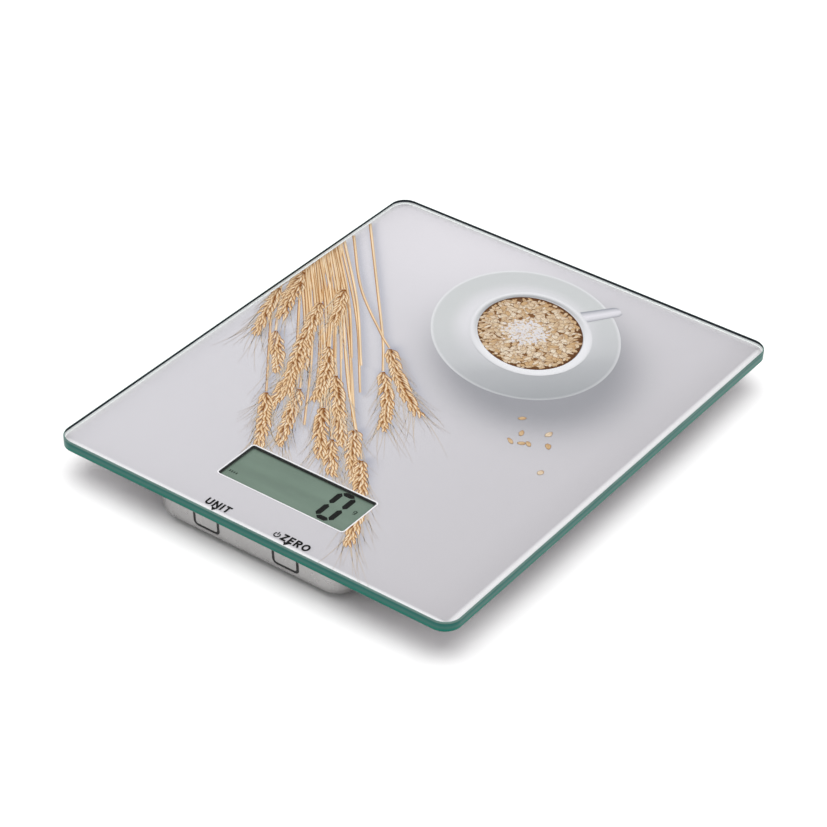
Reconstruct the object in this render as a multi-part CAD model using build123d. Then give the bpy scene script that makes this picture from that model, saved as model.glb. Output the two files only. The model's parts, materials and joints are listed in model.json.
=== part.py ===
from build123d import *
import math
import os

# Slim glass kitchen scale: a printed tempered glass platform bonded to a shallow electronics
# housing and to four load-sensing feet.
# Millimetres. X runs to the right along the display edge, Y to the back, Z up.
# The origin is on the table, under the middle of the glass. The pieces under the glass are drawn
# about their own middle and moved sideways to their place when they are written.

# ---- Glass platform -------------------------------------------------------------------
GLASS_WIDTH = 165.0
GLASS_DEPTH = 200.0
GLASS_THICKNESS = 4.0
GLASS_CORNER_RADIUS = 6.5
GLASS_ARRIS = 0.5
GLASS_CLEAR_HEIGHT = 12.8          # table to the underside of the glass
PRINT_THICKNESS = 0.2
PRINT_EDGE_MARGIN = 0.6
BOND_THICKNESS = 0.3               # double-sided tape under the print
UNDER_GLASS_X = -1.4               # middle of the glass to the middle of all that is fixed under it

# ---- Housing --------------------------------------------------------------------------
HOUSING_SIDE_SPACE = 11.0          # display bezel to the outside of the housing, at the bottom
HOUSING_FRONT_GAP = 3.0            # glass front edge to the housing's front wall, at the bottom
HOUSING_HEIGHT_OFF_TABLE = 1.5
HOUSING_WALL = 1.8
HOUSING_FLOOR = 1.6
HOUSING_CORNER_RADIUS = 9.3
HOUSING_EDGE_RADIUS = 5.0
WALL_DRAFT_ANGLE = 5.7

# ---- Display --------------------------------------------------------------------------
WINDOW_WIDTH = 52.8
WINDOW_HEIGHT = 19.5
WINDOW_CORNER_RADIUS = 1.0
WINDOW_FROM_FRONT = 29.9           # glass front edge to the window's centre
LCD_RECESS = 1.0                   # print to the face of the display
LCD_PLATE_THICKNESS = 1.1
LCD_BORDER = 1.5                   # display glass hidden under the bezel, at the two ends
LCD_LEDGE = 1.8                    # bare contact ledge along the front and back edges
REFLECTOR_THICKNESS = 0.2
BEZEL_WALL = 1.6
BEZEL_LIP = 0.15                   # how far the bezel shows inside the printed window
GASKET_THICKNESS = 0.4
CONNECTOR_STRIP_WIDTH = 1.4
SLIP_FIT = 0.1                     # assembly gap between pieces that drop into each other

# ---- Board ----------------------------------------------------------------------------
BOARD_THICKNESS = 1.2
BOARD_TOP_HEIGHT = 7.0
BOARD_SIDE_GAP = 0.8               # board to the inner face of the side walls
BOARD_FRONT_GAP = 2.4              # inner face of the front wall to the board
BOARD_REAR_GAP = 1.2               # board to the battery well
BOARD_REAR_MARGIN = 2.4            # connectors to the board's rear edge and to the bezel, together
BOARD_CORNER_RADIUS = 5.0
SCREW_EDGE_INSET = 3.6
SCREW_SHANK_RADIUS = 0.9
SCREW_HEAD_RADIUS = 1.9
SCREW_HEAD_HEIGHT = 1.2
SCREW_LENGTH = 3.2
SCREW_RECESS_RADIUS = 0.7
SCREW_RECESS_DEPTH = 0.7
SCREW_CLEARANCE = 0.2
PILOT_CLEARANCE = 0.05
BOSS_RADIUS = 2.4
CHIP_RADIUS = 4.0
CHIP_HEIGHT = 1.1
CAPACITOR_SIZE = (2.0, 1.25, 0.9)
CAPACITOR_COUNT = 6
CAPACITOR_PITCH = 6.0
PLUG_SIZE = (5.0, 4.0)             # sensor cable connector on the board

# ---- Buttons --------------------------------------------------------------------------
BUTTON_SPACING = 33.3
BUTTON_WIDTH = 9.0
BUTTON_HEIGHT = 5.3
BUTTON_TOP_GAP = 0.3               # button to the tape over it
BUTTON_CORNER_RADIUS = 0.9
BUTTON_CLEARANCE = 0.15
BUTTON_TRAVEL = 0.5
RIM_WIDTH = 0.95
RIM_SET_BACK = 0.15
MEMBRANE_THICKNESS = 0.8
MEMBRANE_BORDER = 2.0
FLANGE_BORDER = 0.6
FLANGE_THICKNESS = 0.8
NUB_RADIUS = 1.1
SWITCH_SIZE = (6.0, 3.6, 3.6)
SWITCH_PLUNGER_RADIUS = 1.0
SWITCH_PLUNGER_REACH = 0.9         # plunger proud of the switch
SWITCH_PLUNGER_SEAT = 0.6          # plunger held inside the switch
SWITCH_END_GAP = 0.4               # room left behind the plunger when the button is fully pressed

# ---- Battery --------------------------------------------------------------------------
CELL_RADIUS = 10.0
CELL_HEIGHT = 3.2
CELL_CAP_RADIUS = 8.9
CELL_CAP_STEP = 0.25
CELL_POCKET_CLEARANCE = 0.4
CELL_DOOR_GAP = 0.2
CELL_HEADROOM = 0.9
WELL_WALL = 1.8
WELL_CEILING = 1.2
WELL_REAR_GAP = 0.9                # well to the inner face of the rear wall
DOOR_SIDE_BORDER = 2.1             # cell pocket to the door's side edge
DOOR_END_BORDER = 2.6              # cell pocket to the door's front or back edge
DOOR_THICKNESS = 1.5
DOOR_CORNER_RADIUS = 2.0
DOOR_CLEARANCE = 0.3
HINGE_BARREL_RADIUS = 1.2
HINGE_STUB_RADIUS = 0.6
HINGE_STUB_LENGTH = 1.1
HINGE_RUNNING_FIT = 0.06
LATCH_WIDTH = 8.0
LATCH_LENGTH = 6.0
LATCH_SLOT = 0.8
GRIP_GROOVES = 3                   # finger grooves across the latch tongue
THUMB_NOTCH_RADIUS = 5.0
THUMB_NOTCH_DEPTH = 0.9
CONTACT_THICKNESS = 0.3
CONTACT_WIDTH = 4.0
CONTACT_TAB = 3.0
LEAD_RADIUS = 0.45
LEAD_BEND_RADIUS = 1.0
LABEL_SIZE = (34.0, 16.0)
LABEL_THICKNESS = 0.15
LABEL_CORNER_RADIUS = 1.0
LABEL_FROM_DOOR = 12.0

# ---- Sensing feet ---------------------------------------------------------------------
FOOT_HOUSING_GAP = 1.8             # housing's top edge to the seats beside it
FOOT_END_INSET = 28.0              # glass front or back edge to the foot's centre
FOOT_TRAVEL = 0.4
SEAT_SIZE = 30.0
SEAT_CORNER_RADIUS = 4.0
SEAT_HEIGHT = 5.7
SEAT_BACK = 1.2
SEAT_WALL = 1.5
SEAT_SHOULDER = 1.6                # rim inside the seat that stops the plate
SEAT_CATCH_LENGTH = 6.0
SEAT_CATCH_DEPTH = 0.8
SEAT_CATCH_HEIGHT = 0.6
PLATE_THICKNESS = 1.0
PLATE_CLEARANCE = 0.3
PLATE_FREE_GAP = 0.15              # play left when the foot is pushed right up
PLATE_SLOT = 1.2
PLATE_FRAME = 4.0
TONGUE_WIDTH = 10.0
GAUGE_SIZE = (7.0, 4.4, 0.7)
CUP_RADIUS = 12.0
CUP_TOP_OVERLAP = 0.8              # how far the cup stands up inside the seat
CUP_FLOOR_HEIGHT = 1.0
CUP_EDGE_RADIUS = 1.0
CUP_STEM_RADIUS = 4.0
PAD_RADIUS = 9.5
PAD_THICKNESS = 1.8
PAD_GROOVE_RADIUS = 6.0
PAD_GROOVE_WIDTH = 1.2
PAD_GROOVE_DEPTH = 0.5

# ---- Sensor cables --------------------------------------------------------------------
CABLE_WIDTH = 3.0
CABLE_THICKNESS = 1.0
CABLE_BEND_RADIUS = 14.0
CABLE_NOTCH_CLEARANCE = 0.25
CABLE_SEAT_REACH = 1.5             # cable end inside the seat's wall
REAR_CABLE_OFFSET = 20.0           # centre line to where a rear cable enters the housing
REAR_CABLE_SEAT_SHIFT = 8.0        # foot centre to the cable, towards the middle
REAR_CABLE_STRAIGHT = 14.0         # housing's rear wall to the first corner of the route
CLIP_LENGTH = 8.0
CLIP_WALL = 2.0
CLIP_FLOOR = 0.8

# ---- Worked out from the sizes above --------------------------------------------------
FAR = 400.0
GLASS_FRONT = -GLASS_DEPTH / 2
GLASS_TOP = GLASS_CLEAR_HEIGHT + GLASS_THICKNESS
PRINT_BACK = GLASS_CLEAR_HEIGHT - PRINT_THICKNESS
BOND_BACK = PRINT_BACK - BOND_THICKNESS

DRAFT_SLOPE = math.tan(math.radians(WALL_DRAFT_ANGLE))
HOUSING_FRONT = GLASS_FRONT + HOUSING_FRONT_GAP
FLOOR_TOP = HOUSING_HEIGHT_OFF_TABLE + HOUSING_FLOOR

WINDOW_Y = GLASS_FRONT + WINDOW_FROM_FRONT
LCD_TOP = PRINT_BACK - LCD_RECESS
LCD_SPLIT = LCD_TOP - LCD_PLATE_THICKNESS
LCD_BACK = LCD_SPLIT - LCD_PLATE_THICKNESS
LCD_WIDTH = WINDOW_WIDTH + 2 * LCD_BORDER
LCD_REAR_DEPTH = WINDOW_HEIGHT + LCD_BORDER
LCD_DEPTH = LCD_REAR_DEPTH + 2 * LCD_LEDGE
BEZEL_WIDTH = LCD_WIDTH + 2 * (SLIP_FIT + BEZEL_WALL)
BEZEL_DEPTH = LCD_DEPTH + 2 * (SLIP_FIT + BEZEL_WALL)
BEZEL_TOP = PRINT_BACK - GASKET_THICKNESS
HOUSING_WIDTH = BEZEL_WIDTH + 2 * HOUSING_SIDE_SPACE

BOARD_WIDTH = HOUSING_WIDTH - 2 * (HOUSING_WALL + BOARD_SIDE_GAP)
BOARD_BACK_HEIGHT = BOARD_TOP_HEIGHT - BOARD_THICKNESS


def wall_offset(height):
    """How far the drafted walls have moved outwards at a height above the table."""
    return (height - HOUSING_HEIGHT_OFF_TABLE) * DRAFT_SLOPE


def front_wall_y(height, inset):
    """Y of the housing's front wall at a height, measured inset behind its outer face."""
    return HOUSING_FRONT - wall_offset(height) + inset


FRONT_INNER_Y = front_wall_y(BOARD_TOP_HEIGHT, HOUSING_WALL)
BOARD_FRONT = FRONT_INNER_Y + BOARD_FRONT_GAP
BOARD_REAR = WINDOW_Y + BEZEL_DEPTH / 2 + PLUG_SIZE[1] + BOARD_REAR_MARGIN
BOARD_DEPTH = BOARD_REAR - BOARD_FRONT
BOARD_Y = (BOARD_FRONT + BOARD_REAR) / 2

DOOR_WIDTH = 2 * (CELL_RADIUS + CELL_POCKET_CLEARANCE + DOOR_SIDE_BORDER)
DOOR_LENGTH = 2 * (CELL_RADIUS + CELL_POCKET_CLEARANCE + DOOR_END_BORDER)
WELL_WIDTH = DOOR_WIDTH + 2 * (DOOR_CLEARANCE + WELL_WALL)
WELL_LENGTH = DOOR_LENGTH + 2 * (DOOR_CLEARANCE + WELL_WALL)
WELL_Y = BOARD_REAR + BOARD_REAR_GAP + WELL_LENGTH / 2
HOUSING_REAR = WELL_Y + WELL_LENGTH / 2 + WELL_REAR_GAP + HOUSING_EDGE_RADIUS / 2 + HOUSING_WALL
HOUSING_LENGTH = HOUSING_REAR - HOUSING_FRONT
HOUSING_CENTRE_Y = (HOUSING_FRONT + HOUSING_REAR) / 2
HOUSING_TOP_WIDTH = HOUSING_WIDTH + 2 * wall_offset(BOND_BACK)
DOOR_TOP = HOUSING_HEIGHT_OFF_TABLE + DOOR_THICKNESS
CELL_BOTTOM = DOOR_TOP + CELL_DOOR_GAP
CELL_TOP = CELL_BOTTOM + CELL_HEIGHT
POCKET_TOP = CELL_TOP + CELL_HEADROOM
WELL_TOP = POCKET_TOP + WELL_CEILING
HINGE_HEIGHT = HOUSING_HEIGHT_OFF_TABLE + HINGE_BARREL_RADIUS
HINGE_Y = WELL_Y + DOOR_LENGTH / 2 - HINGE_BARREL_RADIUS

MEMBRANE_BACK = HOUSING_WALL + MEMBRANE_THICKNESS
FLANGE_FRONT = MEMBRANE_BACK + SLIP_FIT
FLANGE_BACK = FLANGE_FRONT + FLANGE_THICKNESS
SWITCH_AXIS_HEIGHT = BOARD_TOP_HEIGHT + SWITCH_SIZE[2] / 2
BUTTON_TOP = BOND_BACK - BUTTON_TOP_GAP
BUTTON_BOTTOM = BUTTON_TOP - BUTTON_HEIGHT
BUTTON_HOLE_GROWTH = BUTTON_CLEARANCE + RIM_WIDTH
SWITCH_FRONT = BOARD_FRONT + SLIP_FIT
PLUNGER_TIP = SWITCH_FRONT - SWITCH_PLUNGER_REACH
SWITCH_BORE_DEPTH = SWITCH_PLUNGER_SEAT + BUTTON_TRAVEL + SWITCH_END_GAP

FOOT_X = HOUSING_TOP_WIDTH / 2 + FOOT_HOUSING_GAP + SEAT_SIZE / 2
FOOT_Y = GLASS_DEPTH / 2 - FOOT_END_INSET
SEAT_BOTTOM = BOND_BACK - SEAT_HEIGHT
SEAT_CEILING = BOND_BACK - SEAT_BACK
PLATE_SIZE = SEAT_SIZE - 2 * (SEAT_WALL + PLATE_CLEARANCE)
CUP_TOP = SEAT_BOTTOM + CUP_TOP_OVERLAP
PLATE_BOTTOM = CUP_TOP + SEAT_CATCH_HEIGHT + FOOT_TRAVEL
PLATE_TOP = PLATE_BOTTOM + PLATE_THICKNESS
SHOULDER_BOTTOM = PLATE_TOP + FOOT_TRAVEL + PLATE_FREE_GAP

CABLE_TOP = SEAT_CEILING - SLIP_FIT
CABLE_BOTTOM = CABLE_TOP - CABLE_THICKNESS
NOTCH_WIDTH = CABLE_WIDTH + 2 * CABLE_NOTCH_CLEARANCE
NOTCH_BOTTOM = CABLE_BOTTOM - CABLE_NOTCH_CLEARANCE
WALL_NOTCH_REACH = 4 * HOUSING_WALL    # cut length that passes right through a drafted wall
FRONT_CABLE_X = BOARD_WIDTH / 2 - PLUG_SIZE[0] / 2
REAR_PLUG_Y = BOARD_REAR - (PLUG_SIZE[1] + BOARD_REAR_MARGIN) / 2

SIDES = {"left": -1, "right": 1}
BUTTONS = {"unit": -BUTTON_SPACING / 2, "zero": BUTTON_SPACING / 2}
CORNERS = {
    "front_left": (-FOOT_X, -FOOT_Y),
    "front_right": (FOOT_X, -FOOT_Y),
    "rear_left": (-FOOT_X, FOOT_Y),
    "rear_right": (FOOT_X, FOOT_Y),
}


# ---- Building blocks ------------------------------------------------------------------
def block(x_range, y_range, z_range):
    """A box between three pairs of coordinates."""
    size = [high - low for low, high in (x_range, y_range, z_range)]
    middle = [(high + low) / 2 for low, high in (x_range, y_range, z_range)]
    return Pos(*middle) * Box(*size)


def centred_block(x, y, width, depth, bottom, top):
    """A box centred on a point in plan, between two heights."""
    return block((x - width / 2, x + width / 2), (y - depth / 2, y + depth / 2), (bottom, top))


def rounded_plate(x, y, width, depth, radius, bottom, top):
    """A plate with rounded plan corners, centred on a point, between two heights."""
    return Pos(x, y, bottom) * extrude(RectangleRounded(width, depth, radius), amount=top - bottom)


def disc(x, y, radius, bottom, top):
    """An upright cylinder between two heights."""
    return Pos(x, y, (bottom + top) / 2) * Cylinder(radius, top - bottom)


def rod_along_x(x_range, y, z, radius):
    """A cylinder lying along X."""
    length = x_range[1] - x_range[0]
    middle = (x_range[0] + x_range[1]) / 2
    return Pos(middle, y, z) * Rot(0, 90, 0) * Cylinder(radius, length)


def rod_along_y(x, y_range, z, radius):
    """A cylinder lying along Y."""
    length = y_range[1] - y_range[0]
    middle = (y_range[0] + y_range[1]) / 2
    return Pos(x, middle, z) * Rot(90, 0, 0) * Cylinder(radius, length)


def button_prism(x, grown, top, y_range):
    """A bar along Y with a button's outline grown to the sides and downwards, cut off at a height."""
    width = BUTTON_WIDTH + 2 * grown
    radius = BUTTON_CORNER_RADIUS + grown
    bottom = BUTTON_BOTTOM - grown
    height = top + radius - bottom
    outline = Plane.XZ * Pos(x, bottom + height / 2) * RectangleRounded(width, height, radius)
    bar = Pos(0, y_range[1], 0) * extrude(outline, amount=y_range[1] - y_range[0])
    return bar - block((x - width, x + width), y_range, (top, top + 2 * radius))


def tray_solid(inset, bottom):
    """All that lies inside the housing's outer skin moved inwards by inset, from a height up."""
    growth = 2 * (wall_offset(bottom) - inset)
    radius = HOUSING_CORNER_RADIUS + wall_offset(bottom) - inset
    outline = RectangleRounded(HOUSING_WIDTH + growth, HOUSING_LENGTH + growth, radius)
    solid = extrude(outline, amount=BOND_BACK - bottom, taper=-WALL_DRAFT_ANGLE)
    solid = Pos(0, HOUSING_CENTRE_Y, bottom) * solid
    edge_radius = HOUSING_EDGE_RADIUS - inset
    if edge_radius > 0:
        solid = fillet(solid.faces().sort_by(Axis.Z)[0].edges(), edge_radius)
    return solid


def save(name, shape):
    """Write one node's STEP file."""
    export_step(shape, f"parts/{name}.step")


def save_under_glass(name, shape):
    """Write a node that is fixed under the glass, moved to its place; a group moves piece by piece."""
    move = Pos(UNDER_GLASS_X, 0, 0)
    if shape.children:
        save(name, Compound(children=[move * piece for piece in shape.children]))
    else:
        save(name, move * shape)


# ---- Platform -------------------------------------------------------------------------
def glass_platform():
    glass = rounded_plate(0, 0, GLASS_WIDTH, GLASS_DEPTH, GLASS_CORNER_RADIUS, GLASS_CLEAR_HEIGHT, GLASS_TOP)
    rims = glass.edges().group_by(Axis.Z)
    return chamfer(rims[0] + rims[-1], GLASS_ARRIS)


def window_opening(bottom, top, margin):
    """The display window's outline, made larger all round by margin."""
    width = WINDOW_WIDTH + 2 * margin
    depth = WINDOW_HEIGHT + 2 * margin
    radius = max(WINDOW_CORNER_RADIUS + margin, WINDOW_CORNER_RADIUS / 2)
    return rounded_plate(0, WINDOW_Y, width, depth, radius, bottom, top)


def printed_decor():
    width = GLASS_WIDTH - 2 * PRINT_EDGE_MARGIN
    depth = GLASS_DEPTH - 2 * PRINT_EDGE_MARGIN
    radius = GLASS_CORNER_RADIUS - PRINT_EDGE_MARGIN
    layer = rounded_plate(0, 0, width, depth, radius, PRINT_BACK, GLASS_CLEAR_HEIGHT)
    return layer - Pos(UNDER_GLASS_X, 0, 0) * window_opening(PRINT_BACK, GLASS_CLEAR_HEIGHT, 0)


def housing_bond_tape():
    grown = 2 * wall_offset(BOND_BACK)
    radius = HOUSING_CORNER_RADIUS + wall_offset(BOND_BACK)
    width = HOUSING_TOP_WIDTH
    depth = HOUSING_LENGTH + grown
    inner = radius - HOUSING_WALL
    ring = rounded_plate(0, HOUSING_CENTRE_Y, width, depth, radius, BOND_BACK, PRINT_BACK)
    return ring - rounded_plate(
        0, HOUSING_CENTRE_Y, width - 2 * HOUSING_WALL, depth - 2 * HOUSING_WALL, inner, BOND_BACK, PRINT_BACK
    )


# ---- Housing --------------------------------------------------------------------------
def screw_places():
    x = BOARD_WIDTH / 2 - SCREW_EDGE_INSET
    front = BOARD_FRONT + SCREW_EDGE_INSET
    rear = BOARD_REAR - SCREW_EDGE_INSET
    return [(side * x, y) for side in SIDES.values() for y in (front, rear)]


def battery_well():
    """Solid block over the battery, before its pocket is cut."""
    return centred_block(0, WELL_Y, WELL_WIDTH, WELL_LENGTH, HOUSING_HEIGHT_OFF_TABLE, WELL_TOP)


def battery_cut():
    """Door opening, cell pocket, hinge slot, hinge holes and contact slots."""
    opening = centred_block(
        0,
        WELL_Y,
        DOOR_WIDTH + 2 * DOOR_CLEARANCE,
        DOOR_LENGTH + 2 * DOOR_CLEARANCE,
        -CELL_HEIGHT,
        CELL_BOTTOM,
    )
    pocket = disc(0, WELL_Y, CELL_RADIUS + CELL_POCKET_CLEARANCE, CELL_BOTTOM, POCKET_TOP)
    half_width = DOOR_WIDTH / 2
    barrel_slot = rod_along_x(
        (-half_width - DOOR_CLEARANCE, half_width + DOOR_CLEARANCE),
        HINGE_Y,
        HINGE_HEIGHT,
        HINGE_BARREL_RADIUS + DOOR_CLEARANCE,
    )
    stub_reach = half_width + HINGE_STUB_LENGTH + DOOR_CLEARANCE
    stub_holes = rod_along_x(
        (-stub_reach, stub_reach), HINGE_Y, HINGE_HEIGHT, HINGE_STUB_RADIUS + HINGE_RUNNING_FIT
    )
    side_slot = centred_block(
        CELL_RADIUS + CONTACT_THICKNESS / 2,
        WELL_Y,
        CONTACT_THICKNESS + 2 * SLIP_FIT,
        CONTACT_WIDTH + 2 * SLIP_FIT,
        CELL_BOTTOM,
        WELL_TOP,
    )
    top_slot = centred_block(
        0,
        negative_slot_y(),
        CONTACT_WIDTH + 2 * SLIP_FIT,
        CONTACT_THICKNESS + 2 * SLIP_FIT,
        POCKET_TOP,
        WELL_TOP,
    )
    return opening + pocket + barrel_slot + stub_holes + side_slot + top_slot


def negative_slot_y():
    """Where the negative contact passes through the well's ceiling."""
    return WELL_Y - CELL_RADIUS + CONTACT_THICKNESS


def thumb_notch():
    """Shallow scoop in the housing's underside, in front of the door's latch."""
    y = WELL_Y - DOOR_LENGTH / 2 - DOOR_CLEARANCE
    return disc(0, y, THUMB_NOTCH_RADIUS, 0, HOUSING_HEIGHT_OFF_TABLE + THUMB_NOTCH_DEPTH)


def cable_notches():
    """Slots in the top of the housing's walls where the four sensor cables come in."""
    half_width = HOUSING_WIDTH / 2
    cuts = []
    for side in SIDES.values():
        side_wall = side * half_width
        cuts.append(centred_block(side_wall, -FOOT_Y, WALL_NOTCH_REACH, NOTCH_WIDTH, NOTCH_BOTTOM, FAR))
        x = side * REAR_CABLE_OFFSET
        cuts.append(centred_block(x, HOUSING_REAR, NOTCH_WIDTH, WALL_NOTCH_REACH, NOTCH_BOTTOM, FAR))
    return cuts


def housing_shell():
    shell = tray_solid(0, HOUSING_HEIGHT_OFF_TABLE) - tray_solid(HOUSING_WALL, FLOOR_TOP)
    for x, y in screw_places():
        boss = disc(x, y, BOSS_RADIUS, FLOOR_TOP - HOUSING_FLOOR / 2, BOARD_BACK_HEIGHT)
        pilot = disc(x, y, SCREW_SHANK_RADIUS + PILOT_CLEARANCE, FLOOR_TOP, BOARD_BACK_HEIGHT)
        shell = shell + boss - pilot
    shell = shell + battery_well() - battery_cut()
    shell = shell - thumb_notch()
    for x in BUTTONS.values():
        reach = (HOUSING_FRONT - HOUSING_WALL, HOUSING_FRONT + 2 * HOUSING_WALL)
        shell = shell - button_prism(x, BUTTON_HOLE_GROWTH, BOND_BACK + HOUSING_WALL, reach)
    for cut in cable_notches():
        shell = shell - cut
    return shell


def rating_label():
    y = WELL_Y - DOOR_LENGTH / 2 - LABEL_FROM_DOOR - LABEL_SIZE[1] / 2
    bottom = HOUSING_HEIGHT_OFF_TABLE - LABEL_THICKNESS
    return rounded_plate(0, y, *LABEL_SIZE, LABEL_CORNER_RADIUS, bottom, HOUSING_HEIGHT_OFF_TABLE)


# ---- Display --------------------------------------------------------------------------
def lcd_gasket():
    ring = centred_block(0, WINDOW_Y, BEZEL_WIDTH, BEZEL_DEPTH, BEZEL_TOP, PRINT_BACK)
    return ring - window_opening(BEZEL_TOP, PRINT_BACK, SLIP_FIT)


def lcd_bezel():
    frame = centred_block(0, WINDOW_Y, BEZEL_WIDTH, BEZEL_DEPTH, BOARD_TOP_HEIGHT, BEZEL_TOP)
    frame = frame - window_opening(BOARD_TOP_HEIGHT, BEZEL_TOP, -BEZEL_LIP)
    pocket_width = LCD_WIDTH + 2 * SLIP_FIT
    pocket_depth = LCD_DEPTH + 2 * SLIP_FIT
    return frame - centred_block(0, WINDOW_Y, pocket_width, pocket_depth, BOARD_TOP_HEIGHT, LCD_TOP)


def lcd_front_glass():
    return centred_block(0, WINDOW_Y, LCD_WIDTH, LCD_DEPTH, LCD_SPLIT, LCD_TOP)


def lcd_rear_glass():
    return centred_block(0, WINDOW_Y, LCD_WIDTH, LCD_REAR_DEPTH, LCD_BACK, LCD_SPLIT)


def lcd_reflector():
    return centred_block(
        0, WINDOW_Y, LCD_WIDTH, LCD_REAR_DEPTH, LCD_BACK - REFLECTOR_THICKNESS, LCD_BACK
    )


def lcd_connector_strips():
    offset = LCD_DEPTH / 2 - LCD_LEDGE / 2
    strips = [
        centred_block(
            0, WINDOW_Y + sign * offset, WINDOW_WIDTH, CONNECTOR_STRIP_WIDTH, BOARD_TOP_HEIGHT, LCD_SPLIT
        )
        for sign in (-1, 1)
    ]
    return Compound(children=strips)


# ---- Board ----------------------------------------------------------------------------
def main_board():
    board = rounded_plate(
        0, BOARD_Y, BOARD_WIDTH, BOARD_DEPTH, BOARD_CORNER_RADIUS, BOARD_BACK_HEIGHT, BOARD_TOP_HEIGHT
    )
    for x, y in screw_places():
        hole = disc(x, y, SCREW_SHANK_RADIUS + SCREW_CLEARANCE, BOARD_BACK_HEIGHT, BOARD_TOP_HEIGHT)
        board = board - hole
    return board


def controller_blob():
    """The resin drop over the controller chip: a cap of a sphere under the board."""
    ball_radius = (CHIP_RADIUS**2 + CHIP_HEIGHT**2) / (2 * CHIP_HEIGHT)
    ball = Pos(0, WINDOW_Y, BOARD_BACK_HEIGHT - CHIP_HEIGHT + ball_radius) * Sphere(ball_radius)
    return ball & disc(0, WINDOW_Y, CHIP_RADIUS, FLOOR_TOP, BOARD_BACK_HEIGHT)


def chip_capacitors():
    width, depth, height = CAPACITOR_SIZE
    row = []
    y = BOARD_REAR - SCREW_EDGE_INSET - depth
    for index in range(CAPACITOR_COUNT):
        x = (index - (CAPACITOR_COUNT - 1) / 2) * CAPACITOR_PITCH
        row.append(centred_block(x, y, width, depth, BOARD_BACK_HEIGHT - height, BOARD_BACK_HEIGHT))
    return Compound(children=row)


def plug_places():
    front = [(side * FRONT_CABLE_X, -FOOT_Y) for side in SIDES.values()]
    rear = [(side * REAR_CABLE_OFFSET, REAR_PLUG_Y) for side in SIDES.values()]
    return front + rear


def cable_connectors():
    return Compound(
        children=[centred_block(x, y, *PLUG_SIZE, BOARD_TOP_HEIGHT, CABLE_BOTTOM) for x, y in plug_places()]
    )


def board_screw(x, y):
    head = disc(x, y, SCREW_HEAD_RADIUS, BOARD_TOP_HEIGHT, BOARD_TOP_HEIGHT + SCREW_HEAD_HEIGHT)
    shank = disc(x, y, SCREW_SHANK_RADIUS, BOARD_TOP_HEIGHT - SCREW_LENGTH, BOARD_TOP_HEIGHT)
    recess_bottom = BOARD_TOP_HEIGHT + SCREW_HEAD_HEIGHT - SCREW_RECESS_DEPTH
    recess_size = 2 * SCREW_RECESS_RADIUS
    slot = SCREW_RECESS_RADIUS / 2
    cross = centred_block(x, y, recess_size, slot, recess_bottom, FAR)
    cross += centred_block(x, y, slot, recess_size, recess_bottom, FAR)
    return head + shank - cross


def board_screws():
    return Compound(children=[board_screw(x, y) for x, y in screw_places()])


# ---- Buttons --------------------------------------------------------------------------
def keypad_membrane():
    """Black rubber strip behind the front wall, with a rim round each button that stops at the tape."""
    top = BOND_BACK - SLIP_FIT
    bottom = BUTTON_BOTTOM - BUTTON_HOLE_GROWTH
    half_width = BUTTON_SPACING / 2 + BUTTON_WIDTH / 2 + BUTTON_HOLE_GROWTH + MEMBRANE_BORDER
    behind_wall = tray_solid(HOUSING_WALL, FLOOR_TOP) - tray_solid(MEMBRANE_BACK, FLOOR_TOP)
    front_only = (HOUSING_FRONT - HOUSING_WALL, BOARD_FRONT)
    strip = behind_wall & block((-half_width, half_width), front_only, (bottom, top))
    skin = tray_solid(RIM_SET_BACK, HOUSING_HEIGHT_OFF_TABLE + RIM_SET_BACK)
    skin = skin - tray_solid(HOUSING_WALL, FLOOR_TOP)
    for x in BUTTONS.values():
        strip = strip + (skin & button_prism(x, BUTTON_HOLE_GROWTH, top, front_only))
    for x in BUTTONS.values():
        strip = strip - button_prism(x, BUTTON_CLEARANCE, BOND_BACK, front_only)
    return strip


def button_cap(x):
    """A cap flush with the wall, with a flange behind the rubber and a nub for the switch."""
    depth = (HOUSING_FRONT - HOUSING_WALL, BOARD_FRONT)
    behind_flange = tray_solid(FLANGE_BACK, FLOOR_TOP)
    bar = button_prism(x, 0, BUTTON_TOP, depth)
    cap = (bar & tray_solid(0, HOUSING_HEIGHT_OFF_TABLE)) - behind_flange
    flange = button_prism(x, FLANGE_BORDER, BUTTON_TOP, depth)
    cap = cap + ((flange & tray_solid(FLANGE_FRONT, FLOOR_TOP)) - behind_flange)
    nub_start = front_wall_y(SWITCH_AXIS_HEIGHT, FLANGE_FRONT)
    return cap + rod_along_y(x, (nub_start, PLUNGER_TIP), SWITCH_AXIS_HEIGHT, NUB_RADIUS)


def tact_switch(x):
    width, depth, height = SWITCH_SIZE
    y_range = (SWITCH_FRONT, SWITCH_FRONT + depth)
    body = block((x - width / 2, x + width / 2), y_range, (BOARD_TOP_HEIGHT, BOARD_TOP_HEIGHT + height))
    bore = rod_along_y(
        x,
        (SWITCH_FRONT, SWITCH_FRONT + SWITCH_BORE_DEPTH),
        SWITCH_AXIS_HEIGHT,
        SWITCH_PLUNGER_RADIUS + SLIP_FIT,
    )
    return body - bore


def switch_plunger(x):
    reach = (PLUNGER_TIP, SWITCH_FRONT + SWITCH_PLUNGER_SEAT)
    return rod_along_y(x, reach, SWITCH_AXIS_HEIGHT, SWITCH_PLUNGER_RADIUS)


# ---- Battery --------------------------------------------------------------------------
def coin_cell():
    can = disc(0, WELL_Y, CELL_RADIUS, CELL_BOTTOM, CELL_TOP - CELL_CAP_STEP)
    can = fillet(can.edges().sort_by(Axis.Z)[0], CELL_CAP_STEP)
    return can + disc(0, WELL_Y, CELL_CAP_RADIUS, CELL_BOTTOM, CELL_TOP)


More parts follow.
